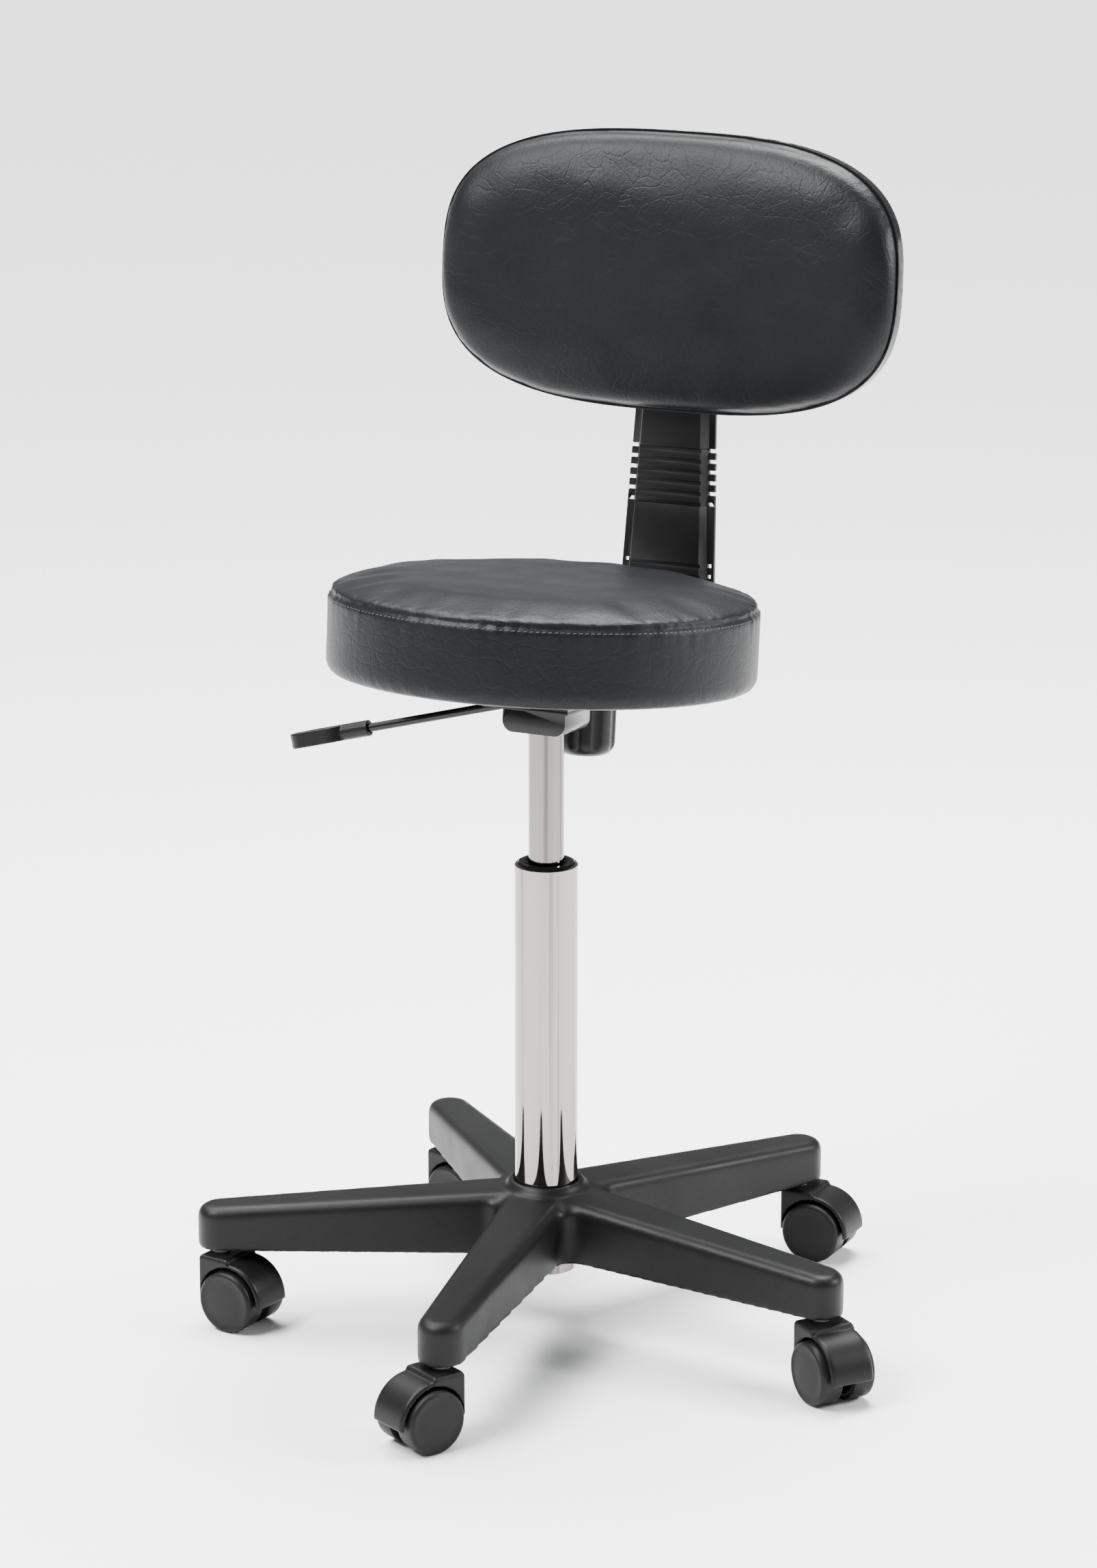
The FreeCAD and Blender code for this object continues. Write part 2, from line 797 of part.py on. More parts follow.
def seat_screws():
    """Four screws that hold the plate to the seat board."""
    heads = [
        cylinder(
            f"seat_screw_head_{i}",
            "screw_head_radius",
            "screw_head_height",
            frame(x, y, "plate_level - screw_head_height"),
        )
        for i, (x, y) in enumerate(screw_places(), 1)
    ]
    group = doc.addObject("Part::Fuse", "seat_screws")
    group.Base, group.Tool = fuse("seat_screw_heads", *heads), screw_shanks("seat_screw_shanks")
    place(group, SEAT)


def seat():
    """The round plywood board and the padded cushion that wraps over it."""
    board = cylinder("board_disc", "board_radius", "board_thickness", frame(y="seat_centre", z=BOARD_BOTTOM))
    place(cut("seat_board", board, screw_shanks("board_bores")), SEAT)
    drum = turned(
        "cushion_drum",
        [
            ("0", "seat_skirt"),
            ("seat_radius", "seat_skirt"),
            ("seat_radius", "seat_edge"),
            ("0", "seat_crown"),
        ],
    )
    body_fillet(
        drum,
        "cushion_rounding",
        "seat_edge_radius",
        lambda edge: edge.BoundBox.XLength > size("seat_radius"),
    )
    place(drum, frame(y="seat_centre"))
    pocket = cylinder(
        "board_pocket",
        "board_radius",
        f"{BOARD_BOTTOM} + board_thickness - seat_skirt + overrun",
        frame(y="seat_centre", z="seat_skirt - overrun"),
    )
    place(cut("seat_cushion", drum, pocket), SEAT)


seat_screws()
seat()


# ---------------------------------------------------------------- lever
def lever():
    """The height lever: a steel rod through the box's wall and a moulded paddle grip."""
    rod = cylinder("lever_bar", "lever_radius", "lever_inner + lever_length", lever_frame("-lever_inner"))
    hole = cylinder(
        "lever_hole",
        "pivot_radius + slide_gap",
        "4 * lever_radius",
        frame(
            "lever_pivot_inset - box_half_width",
            "2 * lever_radius",
            "lever_wall_level + lever_pivot_inset * tan(lever_droop)",
            X_AXIS,
            str(QUARTER_TURN),
        ),
    )
    place(cut("lever_rod", rod, hole), SEAT)
    start = "(lever_length - grip_overlap)"
    barrel = cylinder("grip_barrel", "grip_radius", "grip_length - paddle_length / 2", frame(z=start))
    paddle = round_edges(
        "grip_paddle",
        block(
            "paddle_block",
            ("-paddle_half_thickness", "paddle_half_thickness"),
            ("-paddle_half_width", "paddle_half_width"),
            (f"{start} + grip_length - paddle_length", f"{start} + grip_length"),
        ),
        "paddle_end_radius",
        lambda edge: edge.BoundBox.XLength > TOLERANCE,
    )
    scoop_height = "(paddle_half_thickness + scoop_radius - scoop_depth)"
    middle = f"{start} + grip_length - paddle_length / 2"
    run_start = frame(scoop_height, z=f"{middle} - scoop_length / 2")
    scoop = [cylinder("scoop_run", "scoop_radius", "scoop_length", run_start)]
    for end, side in (("near", "-"), ("far", "+")):
        ball = solid("Part::Sphere", f"scoop_{end}_end", Radius="scoop_radius")
        scoop.append(place(ball, frame(scoop_height, z=f"{middle} {side} scoop_length / 2")))
    bore = cylinder("grip_bore", "lever_radius", "grip_overlap", frame(z=start))
    grip = cut("lever_grip", fuse("grip_blank", barrel, paddle), *scoop, bore)
    place(grip, SEAT, lever_frame())


lever()


# ---------------------------------------------------------------- hand knobs
def lower_rim(edge):
    """The rim at the foot of a knob's blank."""
    box = edge.BoundBox
    return box.ZMax < -TOLERANCE and box.XLength > TOLERANCE


def hand_knob(name, radius, height, stud, *frames):
    """A fluted moulded knob below its frame's origin, with a steel stud moulded in, pointing up."""
    blank = turned(f"{name}_blank", [("0", f"-{height}"), (radius, f"-{height}"), (radius, "0"), ("0", "0")])
    body_fillet(blank, f"{name}_rounding", "knob_rounding", lower_rim)
    flutes = []
    for i in range(int(size("knob_flutes"))):
        around = frame(angle=f"{i} * {TURN} / knob_flutes")
        out = frame(f"{radius} + knob_flute_out", z=f"-{height} - overrun")
        length = f"{height} + 2 * overrun"
        flutes.append(cylinder(f"{name}_flute_{i + 1}", "knob_flute_radius", length, around, out))
    grip = cut(f"{name}_grip", blank, fuse(f"{name}_flutes", *flutes))
    pin = cylinder(f"{name}_stud", "stud_radius", f"{stud} + stud_root", frame(z="-stud_root"))
    place(fuse(name, grip, pin), SEAT, *frames)


hand_knob(
    "depth_knob",
    "knob_radius",
    "knob_height",
    f"({BAR_LEVEL} - bar_thickness / 2 - slide_gap - knob_top)",
    frame(y="knob_distance", z="knob_top"),
)


# ---------------------------------------------------------------- back bar
def bar_form(name, margin, overrun):
    """An L-shaped bar: level, a round bend, then upright. The margin is taken off each face."""
    half_width = f"(bar_width / 2 - {margin})"
    half = f"(bar_thickness / 2 - {margin})"
    across = (f"-{half_width}", half_width)
    bend_y = "(bar_upright - bar_bend)"
    bend_z = f"({BAR_LEVEL} + bar_bend)"
    level_run = block(
        f"{name}_level",
        across,
        (f"bar_front - {overrun}", bend_y),
        (f"{BAR_LEVEL} - {half}", f"{BAR_LEVEL} + {half}"),
    )
    rise = block(
        f"{name}_rise",
        across,
        (f"bar_upright - {half}", f"bar_upright + {half}"),
        (bend_z, f"bar_top + {overrun}"),
    )
    at_bend = frame(f"-{half_width}", bend_y, bend_z, Y_AXIS, str(QUARTER_TURN))
    outer = cylinder(f"{name}_bend_outside", f"bar_bend + {half}", f"2 * {half_width}", at_bend)
    inner = cylinder(f"{name}_bend_inside", f"bar_bend - {half}", f"2 * {half_width}", at_bend)
    outer.Angle = QUARTER_TURN
    inner.Angle = QUARTER_TURN
    return fuse(name, level_run, rise, cut(f"{name}_bend", outer, inner))


bar_outside = bar_form("bar_outside", "0", "0")
bar_inside = bar_form("bar_inside", "bar_wall", "overrun")
place(cut("back_bar", bar_outside, bar_inside), SEAT)


# ---------------------------------------------------------------- ribbed cover
COVER_FRONT = "(bar_upright - bar_thickness / 2 - slide_gap - cover_wall)"
COVER_REAR = "(bar_upright + bar_thickness / 2 + slide_gap + cover_wall)"
RIBS_TOP = "(cover_mid + rib_count * rib_pitch + rib_gap)"


def face_half(height):
    """Half the width of the cover's front face at a height: it narrows upwards."""
    share = f"(({height}) - cover_low_end) / (cover_high_end - cover_low_end)"
    return f"(cover_face_low + (cover_face_high - cover_face_low) * {share})"


def cover_outline(body, name, height):
    """The cover's section at a height: a front shell and a rear shell that meet in a lip."""
    face = face_half(height)
    side = f"({face} + cover_flare)"
    lip = f"({side} + cover_lip)"
    lip_front = f"({COVER_FRONT} + cover_lip_depth)"
    lip_rear = f"({lip_front} + cover_lip_thickness)"
    right = [
        (face, COVER_FRONT),
        (side, lip_front),
        (lip, lip_front),
        (lip, lip_rear),
        (side, lip_rear),
        (face, COVER_REAR),
    ]
    left = [(f"-{x}", y) for x, y in reversed(right)]
    return sketch(body, name, "XY_Plane", right + left, height)


def cover(name, low, high, gaps):
    """A length of the cover between two heights, with gaps cut between its ribs."""
    body = doc.addObject("PartDesign::Body", f"{name}_form")
    loft = body.newObject("PartDesign::AdditiveLoft", f"{name}_loft")
    loft.Profile = cover_outline(body, f"{name}_low", low)
    loft.Sections = [cover_outline(body, f"{name}_high", high)]
    loft.Ruled = True
    body.Tip = loft
    half = "bar_width / 2 + slide_gap"
    openings = [
        block(
            f"{name}_hollow",
            (f"-({half})", half),
            (f"{COVER_FRONT} + cover_wall", f"{COVER_REAR} - cover_wall"),
            (f"{low} - overrun", f"{high} + overrun"),
        )
    ]
    for i, start in enumerate(gaps, 1):
        span = (start, f"{start} + rib_gap")
        core = f"({face_half(start)} + cover_flare)"
        depth = (f"{COVER_FRONT} - overrun", f"{COVER_REAR} + overrun")
        around = block(f"{name}_gap_{i}", ("-bar_width", "bar_width"), depth, span)
        core_depth = (f"{COVER_FRONT} + rib_notch", f"{COVER_REAR} - rib_notch")
        middle = block(f"{name}_core_{i}", (f"-{core}", core), core_depth, span)
        openings.append(cut(f"{name}_ring_{i}", around, middle))
    place(cut(name, body, *openings), SEAT)


RIBS = range(int(size("rib_count")))
LOW_GAPS = [f"cover_low_ribs - rib_gap - {i} * rib_pitch" for i in RIBS]
MIDDLE_GAPS = [f"cover_mid + {i} * rib_pitch" for i in [*RIBS, len(RIBS)]]
cover("lower_cover", "cover_low_end", "cover_mid", LOW_GAPS)
cover("bellows", "cover_mid", RIBS_TOP, MIDDLE_GAPS)
cover("upper_cover", RIBS_TOP, "cover_high_end", [])


# ---------------------------------------------------------------- backrest
def squircle(half_width, half_height):
    """A rounded outline between an ellipse and a rectangle, as a face in the XZ plane."""
    power = 2 / size("back_squareness")
    count = 64
    points = []
    for i in range(count):
        turn = math.tau * (i + 0.5) / count
        x = math.copysign(abs(math.cos(turn)) ** power, math.cos(turn)) * half_width
        z = math.copysign(abs(math.sin(turn)) ** power, math.sin(turn)) * half_height
        points.append(FreeCAD.Vector(x, 0, z))
    curve = Part.BSplineCurve()
    curve.interpolate(Points=points, PeriodicFlag=True)
    return Part.Face(Part.Wire(curve.toShape()))


def back_layer(margin, near, far):
    """A curved slab of the backrest: its outline drawn in by a margin, between two depths."""
    reach = size("back_curve_radius")
    height = 2 * size("back_half_height")
    face = squircle(size("back_half_width") - margin, size("back_half_height") - margin)
    face.translate(FreeCAD.Vector(0, -height, 0))
    prism = face.extrude(FreeCAD.Vector(0, 2 * height, 0))
    base = FreeCAD.Vector(0, -reach, -height)
    beyond, within = (Part.makeCylinder(reach + depth, 2 * height, base) for depth in (far, near))
    return prism.common(beyond.cut(within))


def back_box(x, y, z):
    """A plain box in the backrest's frame."""
    corner = FreeCAD.Vector(x[0], y[0], z[0])
    return Part.makeBox(x[1] - x[0], y[1] - y[0], z[1] - z[0], corner)


def single(shape):
    """The one solid that a shape holds."""
    return shape.Solids[0]


BACK = frame(y="back_face", z="back_level")
BOARD_REAR = size("back_board_thickness")
BAR_DEPTH = size("bar_upright") - size("back_face")
SLEEVE_HALF_DEPTH = size("bar_thickness") / 2 + size("slide_gap")
SLEEVE_HALF_WIDTH = size("bar_width") / 2 + size("slide_gap")
PLATE_REAR = BAR_DEPTH - SLEEVE_HALF_DEPTH
PLATE_FRONT = PLATE_REAR - size("bracket_wall")
BRACKET_SPAN = (size("bracket_bottom") - size("back_level"), size("bracket_top") - size("back_level"))
KNOB_HEIGHT = size("back_knob_level") - size("back_level")
SHELL_REAR = BOARD_REAR + size("shell_depth")


def bracket_screw_places():
    """The four corners of the bracket's plate."""
    margin = size("screw_head_radius") + size("back_screw_margin")
    across = size("bracket_half_width") - margin
    low, high = BRACKET_SPAN[0] + margin, BRACKET_SPAN[1] - margin
    return [(x, z) for x in (-across, across) for z in (low, high)]


def bracket_shanks():
    """The shanks of the four bracket screws."""
    back = FreeCAD.Vector(0, -1, 0)
    radius, length = size("back_screw_radius"), size("back_screw_length")
    return [
        Part.makeCylinder(radius, length, FreeCAD.Vector(x, PLATE_REAR, z), back)
        for x, z in bracket_screw_places()
    ]


def along_depth(radius, near, far, height=KNOB_HEIGHT):
    """A cylinder that runs front to back at a height."""
    return Part.makeCylinder(radius, far - near, FreeCAD.Vector(0, near, height), FreeCAD.Vector(0, 1, 0))


def rounded(shape, radius, near):
    """A layer with its outline edge rounded on the side where the test finds it."""
    edges = [edge for edge in shape.Edges if edge.Length > 2 * size("back_half_width") and near(edge)]
    return shape.makeFillet(radius, edges)


def backrest():
    """The padded backrest: pad, board, edge trim and rear shell."""
    trim, over = size("trim_thickness"), size("overrun")
    pad = back_layer(trim, -size("pad_thickness"), 0)
    pad = rounded(pad, size("pad_edge_radius"), lambda edge: edge.BoundBox.YMax < -size("pad_thickness") / 2)
    shaped("back_pad", single(pad), SEAT, BACK)

    board = back_layer(trim, 0, BOARD_REAR)
    shaped("back_board", single(board.cut(bracket_shanks())), SEAT, BACK)

    ring_front = BOARD_REAR - size("trim_width")
    ring = back_layer(0, ring_front, BOARD_REAR)
    ring = ring.cut(back_layer(trim, ring_front - over, BOARD_REAR + over))
    shaped("back_trim", single(ring), SEAT, BACK)

    wall = size("shell_wall")
    outside = back_layer(size("shell_inset"), BOARD_REAR, SHELL_REAR)
    inner_rear = SHELL_REAR - wall
    edge_radius = size("shell_edge_radius")
    outside = rounded(outside, edge_radius, lambda edge: edge.BoundBox.YMax > SHELL_REAR - over)
    inside = back_layer(size("shell_inset") + wall, BOARD_REAR - over, inner_rear)
    inside = rounded(inside, edge_radius - wall, lambda edge: edge.BoundBox.YMax > inner_rear - over)
    mouth_half = size("cover_face_low") + size("cover_flare") + size("cover_lip")
    mouth = back_box((-mouth_half, mouth_half), (0, inner_rear), (-2 * size("back_half_height"), 0))
    hole = along_depth(size("stud_radius") + size("stud_hole_gap"), 0, 2 * SHELL_REAR)
    shaped("back_shell", single(outside.cut([inside, mouth, hole])), SEAT, BACK)


def height_bracket():
    """The steel sleeve on the back bar, on a plate screwed to the backrest's board."""
    wall = size("bracket_wall")
    half = size("bracket_half_width")
    outer_half = SLEEVE_HALF_WIDTH + wall
    plate = back_box((-half, half), (PLATE_FRONT, PLATE_REAR), BRACKET_SPAN)
    sleeve_rear = BAR_DEPTH + SLEEVE_HALF_DEPTH
    sleeve = back_box((-outer_half, outer_half), (PLATE_FRONT, sleeve_rear + wall), BRACKET_SPAN)
    through = (BRACKET_SPAN[0] - size("overrun"), BRACKET_SPAN[1] + size("overrun"))
    passage = back_box((-SLEEVE_HALF_WIDTH, SLEEVE_HALF_WIDTH), (PLATE_REAR, sleeve_rear), through)
    bore = along_depth(size("stud_radius") + size("slide_gap"), BAR_DEPTH, BAR_DEPTH + 2 * SLEEVE_HALF_DEPTH)
    shape = plate.fuse(sleeve).removeSplitter().cut([passage, bore, *bracket_shanks()])
    shaped("height_bracket", single(shape), SEAT, BACK)

    rearward = FreeCAD.Vector(0, 1, 0)
    radius, height = size("screw_head_radius"), size("screw_head_height")
    heads = [
        Part.makeCylinder(radius, height, FreeCAD.Vector(x, PLATE_REAR, z), rearward)
        for x, z in bracket_screw_places()
    ]
    screws = [head.fuse(shank).removeSplitter() for head, shank in zip(heads, bracket_shanks())]
    shaped("bracket_screws", Part.makeCompound([single(screw) for screw in screws]), SEAT, BACK)


backrest()
height_bracket()
STUD_START = "(bar_upright + bar_thickness / 2 + slide_gap)"
SHELL_OUTSIDE = "(back_face + back_board_thickness + shell_depth)"
hand_knob(
    "height_knob",
    "back_knob_radius",
    "back_knob_height",
    f"({SHELL_OUTSIDE} + back_knob_gap - {STUD_START})",
    frame(y=f"{SHELL_OUTSIDE} + back_knob_gap", z="back_knob_level", axis=X_AXIS, angle=str(QUARTER_TURN)),
)


# ---------------------------------------------------------------- casters
def across_caster(name, radius, half_length, at):
    """A cylinder along the caster's axle line, centred."""
    turn = frame("caster_trail", half_length, "wheel_radius", X_AXIS, str(QUARTER_TURN))
    return cylinder(name, radius, f"2 * ({half_length})", at, turn)


def hood(name, at):
    """The nylon hood over both wheels, with the web between them that carries the axle."""
    here = frame()
    barrel = round_edges(
        f"{name}_barrel_rounded",
        across_caster(f"{name}_barrel", "hood_radius", "hood_half_width", here),
        "hood_edge_radius",
        lambda edge: edge.BoundBox.YLength < TOLERANCE,
    )
    head = block(
        f"{name}_head",
        ("-hood_front", "caster_trail"),
        ("-hood_half_width", "hood_half_width"),
        ("wheel_radius", "hood_top"),
    )
    rounded_head = round_edges(
        f"{name}_head_rounded",
        head,
        "hood_edge_radius",
        lambda edge: edge.BoundBox.ZMin > size("hood_top") - TOLERANCE,
    )
    blank = fuse(f"{name}_blank", barrel, rounded_head)
    keep = block(
        f"{name}_keep",
        ("-hood_front", "caster_trail + 2 * hood_radius"),
        ("-hood_half_width", "hood_half_width"),
        ("hood_bottom", "hood_top"),
    )
    cavities = []
    for side, start in (("left", "web_half"), ("right", "-web_half - hood_half_width")):
        side_face = f"({start}) + hood_half_width"
        turn = frame("caster_trail", side_face, "wheel_radius", X_AXIS, str(QUARTER_TURN))
        cavities.append(cylinder(f"{name}_{side}_cavity", "hood_cavity", "hood_half_width", turn))
    shell = cut(f"{name}_shell", common(f"{name}_trimmed", blank, keep), fuse(f"{name}_cavities", *cavities))
    boss = across_caster(f"{name}_boss", "wheel_radius - web_bottom", "web_half", here)
    bores = fuse(
        f"{name}_bores",
        across_caster(f"{name}_axle_bore", "axle_radius", "hood_half_width", here),
        cylinder(f"{name}_stem_bore", "stem_radius", "hood_top", frame(z="stem_bottom")),
    )
    place(cut(name, fuse(f"{name}_body", shell, boss), bores), at)


def stem(name, at):
    """The grip stem: pressed into the hood, with a flange above it."""
    body = turned(
        name,
        [
            ("0", "stem_bottom"),
            ("stem_radius", "stem_bottom"),
            ("stem_radius", "hood_top"),
            ("stem_flange_radius", "hood_top"),
            ("stem_flange_radius", "hood_top + stem_flange"),
            ("stem_radius", "hood_top + stem_flange"),
            ("stem_radius", "stem_bottom + stem_length - stem_chamfer"),
            ("stem_radius - stem_chamfer", "stem_bottom + stem_length"),
            ("0", "stem_bottom + stem_length"),
        ],
    )
    place(body, at)


def wheel(name, side, at):
    """One solid nylon wheel, hollowed on its inner side. Side is 1 for the left wheel, -1 for the right."""
    bore = "axle_radius + slide_gap"
    web = "(wheel_inner + wheel_recess)"
    floor = "(wheel_outer - wheel_floor)"
    rim = "(wheel_radius - wheel_rim)"
    points = [
        (bore, "wheel_inner"),
        ("wheel_hub_radius", "wheel_inner"),
        ("wheel_hub_radius", web),
        (rim, web),
        (rim, "wheel_inner"),
        ("wheel_radius", "wheel_inner"),
        ("wheel_radius", "wheel_outer"),
        ("0", "wheel_outer"),
        ("0", floor),
        (bore, floor),
    ]
    body = turned(name, [(radius, f"{side} * {along}") for radius, along in points], "XY_Plane")
    outer = side * size("wheel_outer")
    body_fillet(
        body,
        f"{name}_rounding",
        "wheel_edge_radius",
        lambda edge: abs(edge.BoundBox.YMin - outer) < TOLERANCE and edge.BoundBox.XLength > TOLERANCE,
    )
    place(body, at, frame("caster_trail", z="wheel_radius"))


CASTERS = range(int(size("leg_count")))
for i in CASTERS:
    caster = f"caster_{i + 1}"
    swivel = frame(angle=f"heading_{i + 1} - first_leg_angle - {i} * {LEG_STEP}")
    at_leg = f"{leg_frame(i)} * {frame('caster_circle')} * {swivel}"
    hood(f"{caster}_hood", at_leg)
    stem(f"{caster}_stem", at_leg)
    across_caster(f"{caster}_axle", "axle_radius", "axle_half_length", at_leg)
    wheel(f"{caster}_wheel_left", 1, at_leg)
    wheel(f"{caster}_wheel_right", -1, at_leg)


# ---------------------------------------------------------------- check and write
NODES = [
    "star_base", "outer_tube", "guide_bush", "caster_sockets", "bearing_balls",
    "bearing_race", "rubber_bumper", "piston_rod", "retaining_clip", "piston_head",
    "gas_cylinder", "rod_seal", "release_pin",
    "mechanism_box", "lever_pivot", "lever_rod", "lever_grip",
    "seat_plate", "seat_screws", "seat_board", "seat_cushion",
    "bar_guide", "depth_knob", "back_bar", "lower_cover", "bellows", "upper_cover",
    "back_pad", "back_board", "back_trim", "back_shell",
    "height_bracket", "bracket_screws", "height_knob",
]
CASTER_PIECES = ("hood", "stem", "axle", "wheel_left", "wheel_right")
NODES += [f"caster_{i + 1}_{piece}" for i in CASTERS for piece in CASTER_PIECES]

doc.recompute()
failed = [item.Label for item in doc.Objects if {"Invalid", "Error"} & set(item.State)]
if failed:
    raise RuntimeError(f"failed objects: {failed}")
for name in NODES:
    shape = doc.getObject(name).Shape
    if shape.isNull() or not shape.isValid() or not shape.Solids:
        raise RuntimeError(f"{name} is not a valid solid")

os.makedirs("parts", exist_ok=True)
for name in NODES:
    doc.getObject(name).Shape.exportStep(f"parts/{name}.step")
print(f"wrote {len(NODES)} parts")
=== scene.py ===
# %% [markdown]
# # An adjustable swivel stool
# The stool has a round padded seat, a padded backrest on an L-shaped bar, a chromed gas lift column
# and a black nylon star base on twin-wheel casters. The engineering model gives every rigid part its
# shape and its place. This lesson dresses it: it sews the cushions, softens the moulded edges and
# paints every surface, and leaves each part where the frame holds it.

# %% Load the frame
import json
import math

import bpy
from mathutils import Euler, Matrix, Vector, noise


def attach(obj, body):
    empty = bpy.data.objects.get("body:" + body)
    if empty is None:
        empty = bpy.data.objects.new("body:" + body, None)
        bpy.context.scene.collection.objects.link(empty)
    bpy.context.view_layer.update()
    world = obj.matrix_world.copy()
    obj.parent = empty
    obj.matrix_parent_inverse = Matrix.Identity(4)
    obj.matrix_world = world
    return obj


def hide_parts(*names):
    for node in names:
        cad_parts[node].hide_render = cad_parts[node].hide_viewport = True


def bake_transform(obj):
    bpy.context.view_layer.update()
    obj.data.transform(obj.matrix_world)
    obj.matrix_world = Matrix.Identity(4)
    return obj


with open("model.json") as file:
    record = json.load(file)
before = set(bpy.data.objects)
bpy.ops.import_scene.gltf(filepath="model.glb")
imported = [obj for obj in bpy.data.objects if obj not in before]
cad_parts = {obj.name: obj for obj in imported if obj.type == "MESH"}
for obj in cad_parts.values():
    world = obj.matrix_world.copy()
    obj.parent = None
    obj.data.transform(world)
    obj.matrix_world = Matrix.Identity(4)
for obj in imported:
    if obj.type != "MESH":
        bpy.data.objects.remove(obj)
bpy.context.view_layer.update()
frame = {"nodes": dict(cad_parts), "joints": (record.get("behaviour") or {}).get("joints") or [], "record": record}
nodes = frame["nodes"]
joints = {joint["name"]: joint for joint in frame["joints"]}
MM = 0.001
print("nodes:", len(nodes), "joints:", len(joints))

# %% [markdown]
# The seat and everything on it lean back a little. It is easiest to model those pieces upright, on
# axes of their own, and to lean them over at the end. The lean is read from the direction in which
# the backrest slides up, so it always agrees with the frame.

# %% The lean of the seat
slide_up = Vector(joints["back_height"]["axis"])
LEAN = math.atan2(slide_up.y, slide_up.z)
LEANING = Euler((-LEAN, 0, 0)).to_matrix()


def leaning_box(node):
    """The lowest and highest corners of a node, measured on the seat's own axes."""
    points = [LEANING.transposed() @ vertex.co for vertex in nodes[node].data.vertices]
    low = Vector([min(point[i] for point in points) for i in range(3)])
    high = Vector([max(point[i] for point in points) for i in range(3)])
    return low, high


print("the seat leans back by", round(math.degrees(LEAN), 2), "degrees")

# %% [markdown]
# An operator works on whatever is selected, so each step first selects exactly what it means.
# These small helpers keep that habit short: pick an object, choose faces or edges of it by a test,
# apply a modifier, and shade a finished piece.

# %% Helpers for selecting and finishing
def pick(piece):
    """Makes one object the only selected one, and the active one."""
    bpy.ops.object.select_all(action="DESELECT")
    piece.select_set(True)
    bpy.context.view_layer.objects.active = piece


def choose(piece, kind, test):
    """Goes into edit mode with only the faces, edges or vertices that pass the test selected."""
    pick(piece)
    bpy.ops.object.mode_set(mode="EDIT")
    bpy.ops.mesh.select_mode(type=kind)
    bpy.ops.mesh.select_all(action="DESELECT")
    bpy.ops.object.mode_set(mode="OBJECT")
    mesh = piece.data
    for element in {"FACE": mesh.polygons, "EDGE": mesh.edges, "VERT": mesh.vertices}[kind]:
        element.select = test(element)
    bpy.ops.object.mode_set(mode="EDIT")


def done_editing():
    """Leaves edit mode."""
    bpy.ops.object.mode_set(mode="OBJECT")


def modify(piece, kind, **settings):
    """Adds a modifier, sets it up and applies it."""
    pick(piece)
    modifier = piece.modifiers.new(kind.title(), kind)
    for name, value in settings.items():
        setattr(modifier, name, value)
    bpy.ops.object.modifier_apply(modifier=modifier.name)


def smooth(piece, degrees=35):
    """Shades a piece smooth, and keeps its corners above an angle."""
    pick(piece)
    bpy.ops.object.shade_smooth_by_angle(angle=math.radians(degrees))


def lean(piece):
    """Leans a piece from the seat's own axes over to where the frame has it."""
    piece.rotation_euler = (-LEAN, 0, 0)
    settle(piece)


def settle(piece):
    """Puts a piece's place and turn into its mesh, so its object sits at the origin."""
    pick(piece)
    bpy.ops.object.transform_apply(location=True, rotation=True, scale=True)


def named(name):
    """Names the object that was just made, and returns it."""
    piece = bpy.context.active_object
    piece.name = name
    piece.data.name = name
    return piece


def cad_copy(node, name):
    """A loose copy of a frame node, with its doubled corners merged."""
    piece = nodes[node].copy()
    piece.data = nodes[node].data.copy()
    for key in list(piece.keys()):
        del piece[key]
    bpy.context.scene.collection.objects.link(piece)
    piece.parent = None
    piece.rotation_mode = "XYZ"
    piece.name = name
    piece.data.name = name
    piece.data.materials.clear()
    choose(piece, "VERT", lambda vertex: True)
    bpy.ops.mesh.remove_doubles(threshold=0.005 * MM)
    bpy.ops.mesh.customdata_custom_splitnormals_clear()
    done_editing()
    return piece


def dress(piece, body, slot, paint, *replaced):
    """Gives a piece its material, hides the nodes that it stands for, and lets it ride; the slot is not used."""
    piece.data.materials.clear()
    piece.data.materials.append(paint)
    if replaced:
        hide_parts(*replaced)
    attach(piece, body)
    print(piece.name, "has", len(piece.data.polygons), "faces")

# %% [markdown]
# ## Materials
# Each finish is a small node tree. The patterns read Object coordinates, in metres, so a scale of
# 1000 makes grains of about a millimetre, and the grain stays put when the piece moves. Values that
# are the same all over sit on the shader itself; only what varies is wired in.

